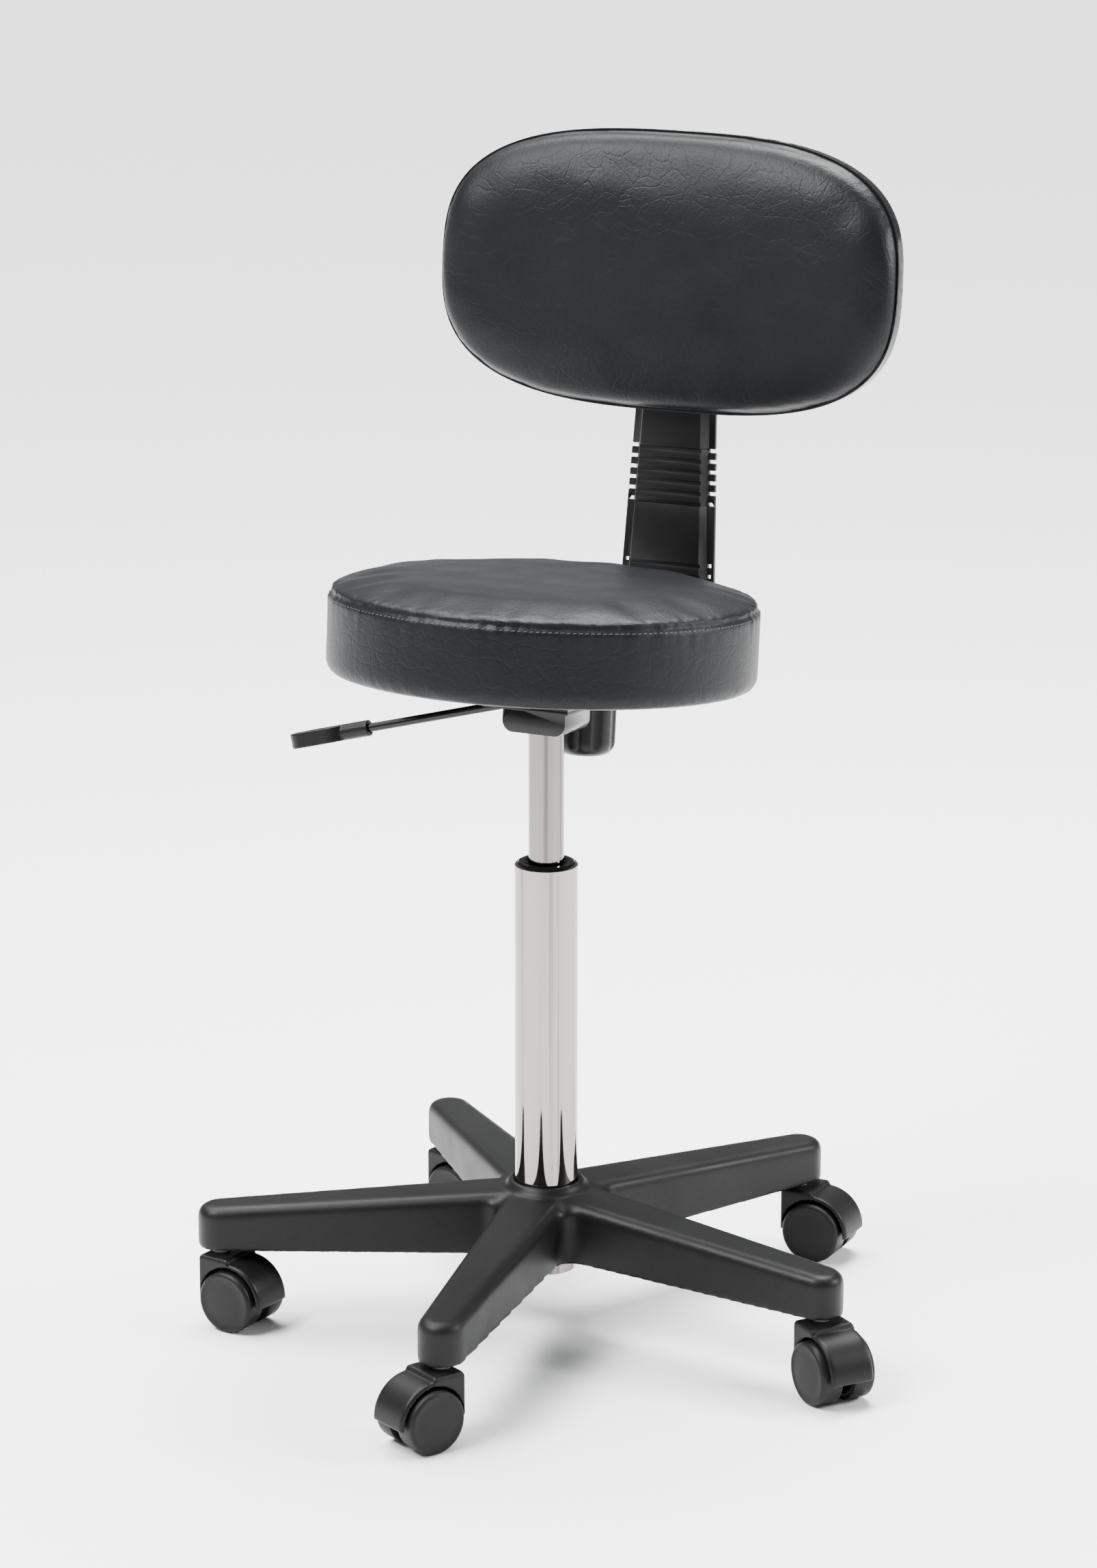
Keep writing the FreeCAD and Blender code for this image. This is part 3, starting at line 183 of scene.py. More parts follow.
# %% Helpers for node trees
class Finish:
    """A material under construction: its shader, and the nodes that feed it."""

    def __init__(self, name, **values):
        self.material = bpy.data.materials.new(name)
        self.material.use_nodes = True
        self.tree = self.material.node_tree
        self.shader = self.tree.nodes["Principled BSDF"]
        self.place = self.add("ShaderNodeTexCoord").outputs["Object"]
        self.normal = None
        for socket, value in values.items():
            self.shader.inputs[socket.replace("_", " ")].default_value = value

    def add(self, kind, **inputs):
        """Adds a node and fills its inputs with values or links."""
        node = self.tree.nodes.new(kind)
        for name, value in inputs.items():
            self.feed(node.inputs[name.replace("_", " ")], value)
        return node

    def feed(self, socket, value):
        """Fills one socket with a value or a link."""
        if isinstance(value, bpy.types.NodeSocket):
            self.tree.links.new(value, socket)
        else:
            socket.default_value = value

    def stretched(self, x, y, z):
        """The object's coordinates with each axis scaled."""
        return self.add("ShaderNodeMapping", Vector=self.place, Scale=(x, y, z)).outputs["Vector"]

    def grain(self, scale, detail=3.0, roughness=0.6, place=None):
        """Cloudy noise, from 0 to 1."""
        source = self.add(
            "ShaderNodeTexNoise", Vector=place or self.place, Scale=scale, Detail=detail, Roughness=roughness
        )
        return source.outputs["Fac"]

    def cells(self, scale, feature="F1", place=None, randomness=1.0):
        """Distance to the nearest of many scattered points, or to the edge between them."""
        source = self.add(
            "ShaderNodeTexVoronoi", Vector=place or self.place, Scale=scale, Randomness=randomness
        )
        source.feature = feature
        return source.outputs["Distance"]

    def ramp(self, value, low, high, from_value, to_value):
        """Maps a value's stretch from low to high onto another stretch, with its ends held."""
        source = self.add("ShaderNodeMapRange", Value=value)
        ends = {"From Min": low, "From Max": high, "To Min": from_value, "To Max": to_value}
        for name, number in ends.items():
            source.inputs[name].default_value = number
        return source.outputs["Result"]

    def blend(self, factor, first, second):
        """A colour between two colours."""
        source = self.tree.nodes.new("ShaderNodeMix")
        source.data_type = "RGBA"
        self.feed(source.inputs["Factor"], factor)
        self.feed(source.inputs["A"], first)
        self.feed(source.inputs["B"], second)
        return source.outputs["Result"]

    def bump(self, height, depth_mm, strength=1.0):
        """Adds relief of a depth in millimetres on top of the relief so far."""
        source = self.add("ShaderNodeBump", Height=height, Strength=strength, Distance=depth_mm * MM)
        if self.normal:
            self.tree.links.new(self.normal, source.inputs["Normal"])
        self.normal = source.outputs["Normal"]
        self.tree.links.new(self.normal, self.shader.inputs["Normal"])

    def set(self, socket, value):
        """Wires a value that varies into the shader."""
        self.feed(self.shader.inputs[socket], value)


def grey(value, blue=1.0):
    """A colour near grey, with a little more or less blue."""
    return (value, value, value * blue, 1.0)

# %% [markdown]
# **Vinyl.** The covers are black upholstery vinyl: a pebbled emboss about a millimetre across, long
# soft creases where it is pulled over the foam, and a low sheen. Small cells make the pebbles and the
# edges of large bent cells make the creases. Two sizes of noise add the leathery relief between them,
# and the roughness drifts with wear.

# %% Vinyl
def vinyl():
    paint = Finish("black_vinyl", Specular_IOR_Level=0.15)
    wear = paint.grain(9.0, 4.0)
    paint.set("Base Color", paint.blend(wear, (0.002, 0.0024, 0.003, 1), (0.0045, 0.005, 0.006, 1)))
    paint.set("Roughness", paint.ramp(wear, 0.3, 0.7, 0.38, 0.5))
    pebbles = paint.cells(850.0, "SMOOTH_F1")
    paint.bump(pebbles, 0.12, 0.5)
    warp = paint.add("ShaderNodeTexNoise", Vector=paint.place, Scale=22.0, Detail=2.0)
    shifted = paint.add("ShaderNodeVectorMath", **{"Vector": paint.place})
    shifted.operation = "MULTIPLY_ADD"
    paint.feed(shifted.inputs[0], warp.outputs["Color"])
    shifted.inputs[1].default_value = (0.03, 0.03, 0.03)
    paint.feed(shifted.inputs[2], paint.place)
    creases = paint.cells(55.0, "DISTANCE_TO_EDGE", shifted.outputs["Vector"])
    paint.bump(paint.ramp(creases, 0.0, 0.05, 0.0, 1.0), 0.2, 0.4)
    paint.bump(paint.grain(330.0, 3.0, 0.65), 0.45, 0.6)
    paint.bump(paint.grain(70.0, 3.0, 0.6), 0.5, 0.35)
    return paint.material


def thread():
    paint = Finish("bonded_thread", Specular_IOR_Level=0.4)
    ply = paint.grain(1500.0, 2.0)
    paint.set("Base Color", paint.blend(ply, (0.006, 0.006, 0.007, 1), (0.02, 0.02, 0.022, 1)))
    paint.set("Roughness", paint.ramp(ply, 0.3, 0.7, 0.4, 0.6))
    paint.bump(ply, 0.05, 0.6)
    return paint.material


VINYL = vinyl()
THREAD = thread()
print(VINYL.name, "is made of", len(VINYL.node_tree.nodes), "shader nodes")

# %% [markdown]
# **Moulded plastics.** The base, hoods and wheels are glass-filled nylon with a fine spark-eroded
# grain. The covers and knobs are smoother, and the edge trim and bush are glossy. One function
# covers the family, with the grain's size, its depth and the shine as its values.

# %% Moulded plastics and rubber
def moulded(name, tone, shine, grain_scale, grain_depth, drift=0.1, blue=1.0):
    paint = Finish(name, Specular_IOR_Level=0.16)
    cloud = paint.grain(14.0, 3.0)
    paint.set("Base Color", paint.blend(cloud, grey(tone * 0.8, blue), grey(tone * 1.25, blue)))
    paint.set("Roughness", paint.ramp(cloud, 0.3, 0.7, shine - drift / 2, shine + drift / 2))
    paint.bump(paint.grain(grain_scale, 2.0, 0.5), grain_depth, 0.6)
    paint.bump(paint.cells(grain_scale * 0.7), grain_depth, 0.3)
    return paint.material


BASE_NYLON = moulded("base_nylon", 0.004, 0.46, 1500.0, 0.09)
HOOD_NYLON = moulded("hood_nylon", 0.004, 0.44, 1400.0, 0.1)
WHEEL_NYLON = moulded("wheel_nylon", 0.005, 0.5, 1300.0, 0.07)
COVER_PLASTIC = moulded("cover_plastic", 0.004, 0.34, 900.0, 0.04)
KNOB_PLASTIC = moulded("knob_plastic", 0.003, 0.32, 800.0, 0.04)
GRIP_PLASTIC = moulded("grip_plastic", 0.004, 0.38, 1000.0, 0.04)
SHELL_PLASTIC = moulded("shell_plastic", 0.006, 0.5, 1100.0, 0.1)
TRIM_PVC = moulded("trim_pvc", 0.006, 0.12, 300.0, 0.015, 0.05)
BUSH_PLASTIC = moulded("bush_plastic", 0.006, 0.16, 400.0, 0.015, 0.05)
BELLOWS_RUBBER = moulded("bellows_rubber", 0.004, 0.4, 900.0, 0.05)
BUMPER_RUBBER = moulded("bumper_rubber", 0.02, 0.7, 700.0, 0.08)
print(len(bpy.data.materials), "materials so far")

# %% [markdown]
# ** Chrome.** The column is polished and plated. A perfect mirror looks false, so long dark streaks are
# painted into the chrome's colour as painted reflections, very fine draw lines are pressed in along the tube, and
# its shine is slightly uneven.

# %% Chrome and steel
def chrome(name, tint, shine, painted_reflection_strength=0.95):
    paint = Finish(name, Metallic=1.0)
    # Painted reflection: the colour darkens in long bands along the tube, where a mirror would show dark
    # surroundings.
    painted_reflection_noise = paint.grain(1.0, 3.0, 0.55, paint.stretched(190.0, 190.0, 0.35))
    painted_reflection_streak = paint.ramp(painted_reflection_noise, 0.55, 0.68, 0.0, painted_reflection_strength)
    dark = (tint[0] * 0.3, tint[1] * 0.26, tint[2] * 0.25, 1)
    paint.set("Base Color", paint.blend(painted_reflection_streak, (*tint, 1), dark))
    cloud = paint.grain(30.0, 3.0)
    paint.set("Roughness", paint.ramp(cloud, 0.3, 0.7, shine * 0.7, shine * 1.3))
    paint.bump(paint.grain(1.0, 2.0, 0.5, paint.stretched(900.0, 900.0, 12.0)), 0.01, 0.12)
    return paint.material


def steel(name, tone, shine):
    paint = Finish(name, Metallic=1.0)
    cloud = paint.grain(60.0, 4.0)
    paint.set("Base Color", paint.blend(cloud, grey(tone * 0.85), grey(tone)))
    paint.set("Roughness", paint.ramp(cloud, 0.3, 0.7, shine - 0.08, shine + 0.08))
    paint.bump(paint.grain(1200.0, 3.0), 0.02, 0.4)
    return paint.material


TUBE_CHROME = chrome("tube_chrome", (0.25, 0.225, 0.22), 0.06)
CYLINDER_CHROME = chrome("cylinder_chrome", (0.17, 0.155, 0.15), 0.1)
ROD_CHROME = chrome("rod_chrome", (0.35, 0.35, 0.35), 0.08)
ZINC = steel("zinc_steel", 0.62, 0.34)
print(len(bpy.data.materials), "materials so far")

# %% [markdown]
# **Paint and wood.** The steel under the seat is powder coated black, with the faint orange peel
# that a baked coat has. The seat board is birch plywood: long grain on its face and thin layers
# on its edge, which show from below. The backrest's board is stained black, because a narrow rim of
# it shows round the rear shell.

# %% Black paint and plywood
def black_paint(name, shine, peel):
    paint = Finish(name, Specular_IOR_Level=0.2, Coat_Weight=0.08, Coat_Roughness=0.1)
    cloud = paint.grain(25.0, 3.0)
    paint.set("Base Color", paint.blend(cloud, grey(0.002), grey(0.004)))
    paint.set("Roughness", paint.ramp(cloud, 0.3, 0.7, shine - 0.05, shine + 0.05))
    paint.bump(paint.grain(260.0, 2.0), peel, 0.5)
    return paint.material


def plywood(name, light, dark, glue):
    paint = Finish(name, Specular_IOR_Level=0.35)
    figure = paint.grain(1.0, 6.0, 0.65, paint.stretched(160.0, 9.0, 160.0))
    upwards = paint.stretched(0.0, 0.0, 1.0)
    layers = paint.add("ShaderNodeTexWave", Vector=upwards, Scale=180.0, Distortion=0.6)
    wood = paint.blend(figure, light, dark)
    shaded = paint.blend(paint.ramp(layers.outputs["Fac"], 0.3, 0.7, 0.0, 0.35), wood, glue)
    paint.set("Base Color", shaded)
    paint.set("Roughness", paint.ramp(figure, 0.2, 0.8, 0.5, 0.75))
    paint.bump(figure, 0.15, 0.5)
    return paint.material


FRAME_BLACK = black_paint("frame_black", 0.2, 0.05)
BAR_BLACK = black_paint("bar_black", 0.32, 0.08)
LEVER_BLACK = black_paint("lever_black", 0.25, 0.03)
PLYWOOD = plywood("plywood", (0.55, 0.37, 0.19, 1), (0.33, 0.2, 0.09, 1), (0.2, 0.12, 0.06, 1))
STAINED_PLYWOOD = plywood("stained_plywood", grey(0.012), grey(0.005), grey(0.003))
print(len(bpy.data.materials), "materials so far")

# %% [markdown]
# The frame names a slot for each node. One table turns slots into finishes.

# %% Paint every frame node by its slot
PAINTS = {
    "base_nylon": BASE_NYLON, "tube_chrome": TUBE_CHROME, "bush_plastic": BUSH_PLASTIC,
    "socket_steel": ZINC, "bumper_rubber": BUMPER_RUBBER, "rod_chrome": ROD_CHROME,
    "cylinder_chrome": CYLINDER_CHROME, "frame_black": FRAME_BLACK, "screw_steel": ZINC,
    "plywood": PLYWOOD, "black_vinyl": VINYL, "lever_black": LEVER_BLACK, "grip_plastic": GRIP_PLASTIC,
    "knob_plastic": KNOB_PLASTIC, "bar_black": BAR_BLACK, "cover_plastic": COVER_PLASTIC,
    "bellows_rubber": BELLOWS_RUBBER, "trim_pvc": TRIM_PVC, "shell_plastic": SHELL_PLASTIC,
    "hood_nylon": HOOD_NYLON, "caster_steel": ZINC, "wheel_nylon": WHEEL_NYLON,
}
for subpart in frame["record"]["subparts"]:
    node = nodes[subpart["node"]]
    paint = PAINTS.get(subpart["material_slot"], ZINC)
    for slot in node.material_slots:
        slot.material = paint
for slot in nodes["back_board"].material_slots:
    slot.material = STAINED_PLYWOOD

# %% [markdown]
# ## The star base
# The base is one nylon moulding: five ribbed legs that flow into a hub. A mould has no knife edges, so
# every corner of the real one is rolled over by a few millimetres. One could bevel each edge, but the
# legs meet in a tangle of edges where a bevel breaks. A voxel remesh turns the copied node into even
# small faces, and a few rounds of smoothing then melt all the corners at once, as the mould does.

# %% Melt the corners of a moulding
def melted(node, name, voxel, rounds):
    """A copy of a node in small even faces, with its corners rolled over."""
    piece = cad_copy(node, name)
    modify(piece, "REMESH", mode="VOXEL", voxel_size=voxel)
    modify(piece, "SMOOTH", factor=0.5, iterations=rounds)
    smooth(piece, 180)
    return piece


base = melted("star_base", "moulded_star_base", 2.0 * MM, 7)
dress(base, "base", "base_nylon", BASE_NYLON, "star_base")

# %% [markdown]
# ## Casters
# Each caster has a hood, and two wheels outside of it. The five are the same and differ only in place
# and heading, so each piece is made once on the caster's own axes: the stem on Z, and +X the way it
# trails. The heading is read from the direction of the wheels' axle.

# %% The casters' own axes
SWIVELS = [name for name in joints if name.startswith("caster") and name.endswith("_swivel")]
CASTERS = [name.removesuffix("_swivel") for name in SWIVELS]


def caster_place(caster):
    """Where a caster stands and which way it trails, as a matrix."""
    stem = joints[f"{caster}_swivel"]["pos_m"]
    axle = joints[f"{caster}_left_spin"]["axis"]
    heading = math.atan2(-axle[0], axle[1])
    return Matrix.Translation((stem[0], stem[1], 0)) @ Matrix.Rotation(heading, 4, "Z")


def put(master, name, matrix):
    """A copy of a piece with a mesh of its own, put in place."""
    piece = master.copy()
    piece.data = master.data.copy()
    bpy.context.scene.collection.objects.link(piece)
    piece.name = name
    piece.data.name = name
    piece.matrix_world = matrix
    settle(piece)
    return piece


print(len(CASTERS), "casters")

# %% [markdown]
# The hood is moulded, so it is melted like the base, from the first caster's node, which is first
# turned back onto the caster's own axes.

# %% The hoods
first_place = caster_place(CASTERS[0])
hood_master = cad_copy(f"{CASTERS[0]}_hood", "hood_master")
hood_master.matrix_world = first_place.inverted()
settle(hood_master)
modify(hood_master, "REMESH", mode="VOXEL", voxel_size=1.0 * MM)
modify(hood_master, "SMOOTH", factor=0.5, iterations=5)
smooth(hood_master, 180)
for caster in CASTERS:
    hood = put(hood_master, f"{caster}_moulded_hood", caster_place(caster))
    dress(hood, caster, "hood_nylon", HOOD_NYLON, f"{caster}_hood")
bpy.data.objects.remove(hood_master)

# %% [markdown]
# A wheel starts as a cylinder on the axle's line. Its outer face is inset and raised in steps into a
# low dome, its inner face is inset and sunk so that a rim and a hub are left, and its rims are
# rounded with a bevel. The two wheels of a caster are mirror images of each other.

# %% The wheels
def caster_box(node, caster):
    """The lowest and highest corners of a caster's node, on the caster's own axes."""
    back = caster_place(caster).inverted()
    points = [back @ vertex.co for vertex in nodes[node].data.vertices]
    low = Vector([min(point[i] for point in points) for i in range(3)])
    high = Vector([max(point[i] for point in points) for i in range(3)])
    return low, high


def facing(direction):
    """A test for faces that look along a direction."""
    return lambda face: face.normal.dot(Vector(direction)) > 0.99


def wheel(side):
    """One wheel on the caster's own axes, on the side that is given as 1 or -1."""
    low, high = caster_box(f"{CASTERS[0]}_wheel_{'left' if side > 0 else 'right'}", CASTERS[0])
    radius, width, middle = (high.z - low.z) / 2, high.y - low.y, (low + high) / 2
    bpy.ops.mesh.primitive_cylinder_add(
        vertices=72, radius=radius, depth=width, location=middle, rotation=(math.pi / 2, 0, 0)
    )
    piece = named("wheel_master")
    settle(piece)
    choose(piece, "FACE", facing((0, side, 0)))
    bpy.ops.mesh.inset(thickness=3.2 * MM, depth=0.0)
    bpy.ops.mesh.inset(thickness=0.8 * MM, depth=-0.25 * MM)
    bpy.ops.mesh.inset(thickness=6 * MM, depth=0.55 * MM)
    bpy.ops.mesh.inset(thickness=6 * MM, depth=0.3 * MM)
    bpy.ops.mesh.inset(thickness=5 * MM, depth=0.1 * MM)
    done_editing()
    choose(piece, "FACE", facing((0, -side, 0)))
    bpy.ops.mesh.inset(thickness=4.5 * MM, depth=0.0)
    bpy.ops.mesh.inset(thickness=0.6 * MM, depth=-9 * MM)
    bpy.ops.mesh.inset(thickness=11 * MM, depth=0.0)
    bpy.ops.mesh.inset(thickness=0.4 * MM, depth=8.5 * MM)
    done_editing()
    rim = radius - 0.1 * MM
    outer = middle.y + side * width / 2
    mesh = piece.data
    at_rim = [math.hypot(v.co.x - middle.x, v.co.z - middle.z) > rim for v in mesh.vertices]
    at_face = [abs(v.co.y - outer) < 0.01 * MM for v in mesh.vertices]
    choose(piece, "EDGE", lambda edge: all(at_rim[i] and at_face[i] for i in edge.vertices))
    bpy.ops.mesh.bevel(offset=3.0 * MM, segments=5)
    done_editing()
    modify(piece, "BEVEL", width=0.5 * MM, segments=2, limit_method="ANGLE", angle_limit=math.radians(40))
    smooth(piece, 40)
    return piece


for side, name in ((1, "left"), (-1, "right")):
    master = wheel(side)
    for caster in CASTERS:
        turned = put(master, f"{caster}_{name}_wheel", caster_place(caster))
        dress(turned, f"{caster}_{name}", "wheel_nylon", WHEEL_NYLON, f"{caster}_wheel_{name}")
    bpy.data.objects.remove(master)

# %% [markdown]
# ## The seat cushion
# The seat is a boxed cushion: a round top panel and a side band, sewn together all round and pulled
# down over foam and a board. The foam pushes both panels out, and the seam holds them in. That is
# just what a cloth simulation does: a slightly small drum is blown up with its seam and its stapled
# underside pinned, so the band and the top swell between them.

# %% Blow up a cover like a balloon
CUSHION_VOXEL = 4.5 * MM
AIR_PRESSURE = 4.0


def puff(piece, held, pressure, cap):
    """Swells a piece by cloth simulation with some points held, and caps how far a point may move."""
    before = [vertex.co.copy() for vertex in piece.data.vertices]
    group = piece.vertex_groups.new(name="held")
    group.add([i for i, point in enumerate(before) if held(point)], 1.0, "REPLACE")
    pick(piece)
    cloth = piece.modifiers.new("Cloth", "CLOTH")
    cloth.settings.quality = 6
    cloth.settings.use_pressure = True
    cloth.settings.uniform_pressure_force = pressure
    cloth.settings.bending_stiffness = 1.5
    cloth.settings.vertex_group_mass = "held"
    cloth.settings.effector_weights.gravity = 0
    for step in range(1, 21):
        bpy.context.scene.frame_set(step)
    bpy.ops.object.modifier_apply(modifier=cloth.name)
    bpy.context.scene.frame_set(1)
    piece.vertex_groups.clear()
    for vertex, start in zip(piece.data.vertices, before):
        move = vertex.co - start
        if move.length > cap:
            vertex.co = start + move * (cap / move.length)


def soften(piece, free, rounds):
    """Smooths out the folds that are too large for tight vinyl, at the points that are free to move."""
    group = piece.vertex_groups.new(name="free")
    group.add([vertex.index for vertex in piece.data.vertices if free(vertex.co)], 1.0, "REPLACE")
    modify(piece, "SMOOTH", factor=0.5, iterations=rounds, vertex_group="free")
    piece.vertex_groups.clear()

# %% [markdown]
# The drum starts as a cylinder a little narrower than the finished seat, because it will swell. Its top
# is raised in two rings into a low crown, and its upper and lower rims are rolled over by bevels.

# %% The seat's drum
seat_low, seat_high = leaning_box("seat_cushion")
SEAT_MIDDLE = (seat_low + seat_high) / 2
SEAT_RADIUS = seat_high.x
SEAM_RADIUS = SEAT_RADIUS - 5 * MM
SEAM_HEIGHT = seat_high.z - 15 * MM
CROWN_RISE = 10 * MM
TOP_ROLL, FOOT_ROLL = 12 * MM, 8 * MM
drum_height = SEAM_HEIGHT + CROWN_RISE - seat_low.z
bpy.ops.mesh.primitive_cylinder_add(
    vertices=128,
    radius=SEAM_RADIUS,
    depth=drum_height,
    location=(0, SEAT_MIDDLE.y, seat_low.z + drum_height / 2),
)
seat = named("seat_upholstery")
settle(seat)
choose(seat, "FACE", facing((0, 0, 1)))
bpy.ops.mesh.inset(thickness=45 * MM, depth=2.0 * MM)
bpy.ops.mesh.inset(thickness=60 * MM, depth=1.0 * MM)
done_editing()
heights = [vertex.co.z for vertex in seat.data.vertices]
radii = [math.hypot(v.co.x, v.co.y - SEAT_MIDDLE.y) for v in seat.data.vertices]
choose(
    seat,
    "EDGE",
    lambda edge: all(radii[i] > SEAM_RADIUS - MM and heights[i] > SEAM_HEIGHT for i in edge.vertices),
)
bpy.ops.mesh.bevel(offset=TOP_ROLL, segments=6)
done_editing()
heights = [vertex.co.z for vertex in seat.data.vertices]
radii = [math.hypot(v.co.x, v.co.y - SEAT_MIDDLE.y) for v in seat.data.vertices]
choose(
    seat,
    "EDGE",
    lambda edge: all(radii[i] > SEAM_RADIUS - MM and heights[i] < seat_low.z + MM for i in edge.vertices),
)
bpy.ops.mesh.bevel(offset=FOOT_ROLL, segments=4)
done_editing()
modify(seat, "REMESH", mode="VOXEL", voxel_size=CUSHION_VOXEL)
print("the drum has", len(seat.data.polygons), "faces")

# %% [markdown]
# The seam and the staples hold their points still while the air pushes the rest out. The top is smoothed
# afterwards, because vinyl over firm foam has no deep folds.

# %% Swell it between its seam and its staples
def seat_held(point):
    """The points that the seam and the staples hold."""
    radius = math.hypot(point.x, point.y - SEAT_MIDDLE.y)
    at_seam = radius > SEAM_RADIUS - 8 * MM and abs(point.z - SEAM_HEIGHT) < 2.6 * MM
    return at_seam or point.z < seat_low.z + 3 * MM


puff(seat, seat_held, AIR_PRESSURE, 3.5 * MM)
soften(seat, lambda point: point.z > SEAM_HEIGHT + 6 * MM, 20)
modify(seat, "SUBSURF", levels=1, render_levels=1)
seat_top = max(vertex.co.z for vertex in seat.data.vertices)
print("the cushion is", round((seat_top - seat_low.z) / MM, 1), "mm tall at its crown")

# %% [markdown]
# The remesh erased anything finer than its voxels, so the seam's own detail comes now: the groove
# where the panels meet, and the small puckers that the thread pulls into the band below it. They are
# made by moving points along the radius, with a steady noise so that no two puckers are the same.

# %% Press in the seam and its puckers
def seam_shift(point):
    """How far a point of the cushion moves inwards along its radius."""
    angle = math.atan2(point.y - SEAT_MIDDLE.y, point.x)
    above = point.z - SEAM_HEIGHT
    groove = 2.2 * MM * math.exp(-((above / (2.2 * MM)) ** 2))
    patch = 0.5 + noise.noise(Vector((math.cos(angle), math.sin(angle), 0.3)) * 3.1)
    ripple = noise.noise(Vector((math.cos(angle) * 22, math.sin(angle) * 22, point.z * 12)))
    reach = math.exp(-abs(above) / (13 * MM if above < 0 else 6 * MM))
    return groove + max(patch, 0.15) * ripple * 1.6 * MM * reach


for vertex in seat.data.vertices:
    point = vertex.co
    radial = Vector((point.x, point.y - SEAT_MIDDLE.y, 0))
    if radial.length > SEAM_RADIUS - 14 * MM and point.z > seat_low.z + 5 * MM:
        vertex.co = point - radial.normalized() * seam_shift(point)
    elif point.z > SEAM_HEIGHT:
        vertex.co.z += 0.5 * MM * noise.noise(Vector((point.x * 30, point.y * 30, 0)))
smooth(seat, 180)
print("the cushion has", len(seat.data.vertices), "points")

# %% [markdown]
# The thread shows just below the seam as a row of short stitches. One stitch is a tiny cylinder with
# rounded ends. It is laid on the band by a ray that finds the vinyl's surface at each angle, and the
# whole row is joined into one piece.

# %% Sew the stitches
STITCH_PITCH, STITCH_LENGTH, STITCH_RADIUS = 4.6 * MM, 3.0 * MM, 0.42 * MM
STITCH_HEIGHT = SEAM_HEIGHT - 3.2 * MM
bpy.ops.mesh.primitive_cylinder_add(vertices=6, radius=STITCH_RADIUS, depth=STITCH_LENGTH)
stitch = named("stitch_master")
modify(stitch, "BEVEL", width=0.2 * MM, segments=1, limit_method="ANGLE", angle_limit=math.radians(60))
stitch_count = round(math.tau * SEAM_RADIUS / STITCH_PITCH)
row = []
for i in range(stitch_count):
    turn = math.tau * i / stitch_count
    outwards = Vector((math.cos(turn), math.sin(turn), 0))
    start = Vector((0, SEAT_MIDDLE.y, STITCH_HEIGHT)) + outwards * SEAT_RADIUS * 1.2
    surface = seat.ray_cast(start, -outwards)[1]
    at = surface + outwards * STITCH_RADIUS * 0.2
    along = Vector((-outwards.y, outwards.x, 0.12)).to_track_quat("Z", "Y").to_matrix().to_4x4()
    row.append(put(stitch, f"stitch_{i}", Matrix.Translation(at) @ along))
bpy.data.objects.remove(stitch)
bpy.ops.object.select_all(action="DESELECT")
for one in row:
    one.select_set(True)
bpy.context.view_layer.objects.active = row[0]
bpy.ops.object.join()
stitches = named("seat_seam_stitches")
smooth(stitches, 60)
lean(stitches)
dress(stitches, "seat", "black_vinyl", THREAD)
print(stitch_count, "stitches")

# %% [markdown]
# The cushion was upright so far, so that the stitches could be laid level. Now it leans back.

# %% Lean the seat
lean(seat)
dress(seat, "seat", "black_vinyl", VINYL, "seat_cushion")

# %% [markdown]
# ## The back pad
# The pad is foam on a curved board, with vinyl drawn tight over it. Its face is not flat: it is fullest
# in the middle and falls away towards its edges. The copied node is first thinned towards its
# outline, then swollen by the same simulation with its rear held by the board, and smoothed.

# %% Thin the pad towards its outline
pad_low, pad_high = leaning_box("back_pad")
PAD_MIDDLE = (pad_low + pad_high) / 2
PAD_HALF = (pad_high - pad_low) / 2
pad = cad_copy("back_pad", "back_upholstery")
pad.rotation_euler = (LEAN, 0, 0)
settle(pad)
BOARD_CURVE = 1400 * MM
PAD_DEPTH = 32 * MM
STAPLED_DEPTH, FREE_DEPTH = 6 * MM, 9 * MM
OUTLINE_POWER = 2.9


def outline_share(point):
    """How far out a point of the pad is: 0 in its middle and 1 at its outline."""
    across = abs((point.x - PAD_MIDDLE.x) / PAD_HALF.x)
    up = abs((point.z - PAD_MIDDLE.z) / PAD_HALF.z)
    return (across**OUTLINE_POWER + up**OUTLINE_POWER) ** (1 / OUTLINE_POWER)


def off_board(point):
    """How far a point of the pad stands off the board, which curves forward to the sides."""
    board = pad_high.y - BOARD_CURVE + math.sqrt(BOARD_CURVE**2 - point.x**2)
    return board - point.y


modify(pad, "REMESH", mode="VOXEL", voxel_size=CUSHION_VOXEL)
for vertex in pad.data.vertices:
    point = vertex.co
    fullness = off_board(point) / PAD_DEPTH
    share = outline_share(point)
    vertex.co.y += fullness * (2.5 + 9.0 * share**2.6) * MM


def pad_held(point):
    """The rear of the pad, where the board and the staples hold it."""
    return off_board(point) < STAPLED_DEPTH


puff(pad, pad_held, AIR_PRESSURE, 2.2 * MM)
soften(pad, lambda point: off_board(point) > FREE_DEPTH, 30)
modify(pad, "SUBSURF", levels=1, render_levels=1)
for vertex in pad.data.vertices:
    point = vertex.co
    front = min(max(off_board(point) / PAD_DEPTH, 0), 1)
    soft = noise.noise(Vector((point.x * 22, point.z * 30, 0.0)))
    vertex.co.y += front * soft * 0.7 * MM
print("the pad has", len(pad.data.vertices), "points")

# %% [markdown]
# Remeshing and smoothing pull an outline in a little. The cover is drawn out again in width and height,
# so that its edge tucks under the trim and no board shows.

# %% Draw the cover out to the trim
TRIM_OVERLAP = 0.8 * MM
widest = max(abs(vertex.co.x) for vertex in pad.data.vertices)
tallest = max(abs(vertex.co.z - PAD_MIDDLE.z) for vertex in pad.data.vertices)
for vertex in pad.data.vertices:
    vertex.co.x *= (PAD_HALF.x + TRIM_OVERLAP) / widest
    vertex.co.z = PAD_MIDDLE.z + (vertex.co.z - PAD_MIDDLE.z) * (PAD_HALF.z + TRIM_OVERLAP) / tallest
smooth(pad, 180)
lean(pad)
dress(pad, "backrest", "black_vinyl", VINYL, "back_pad")

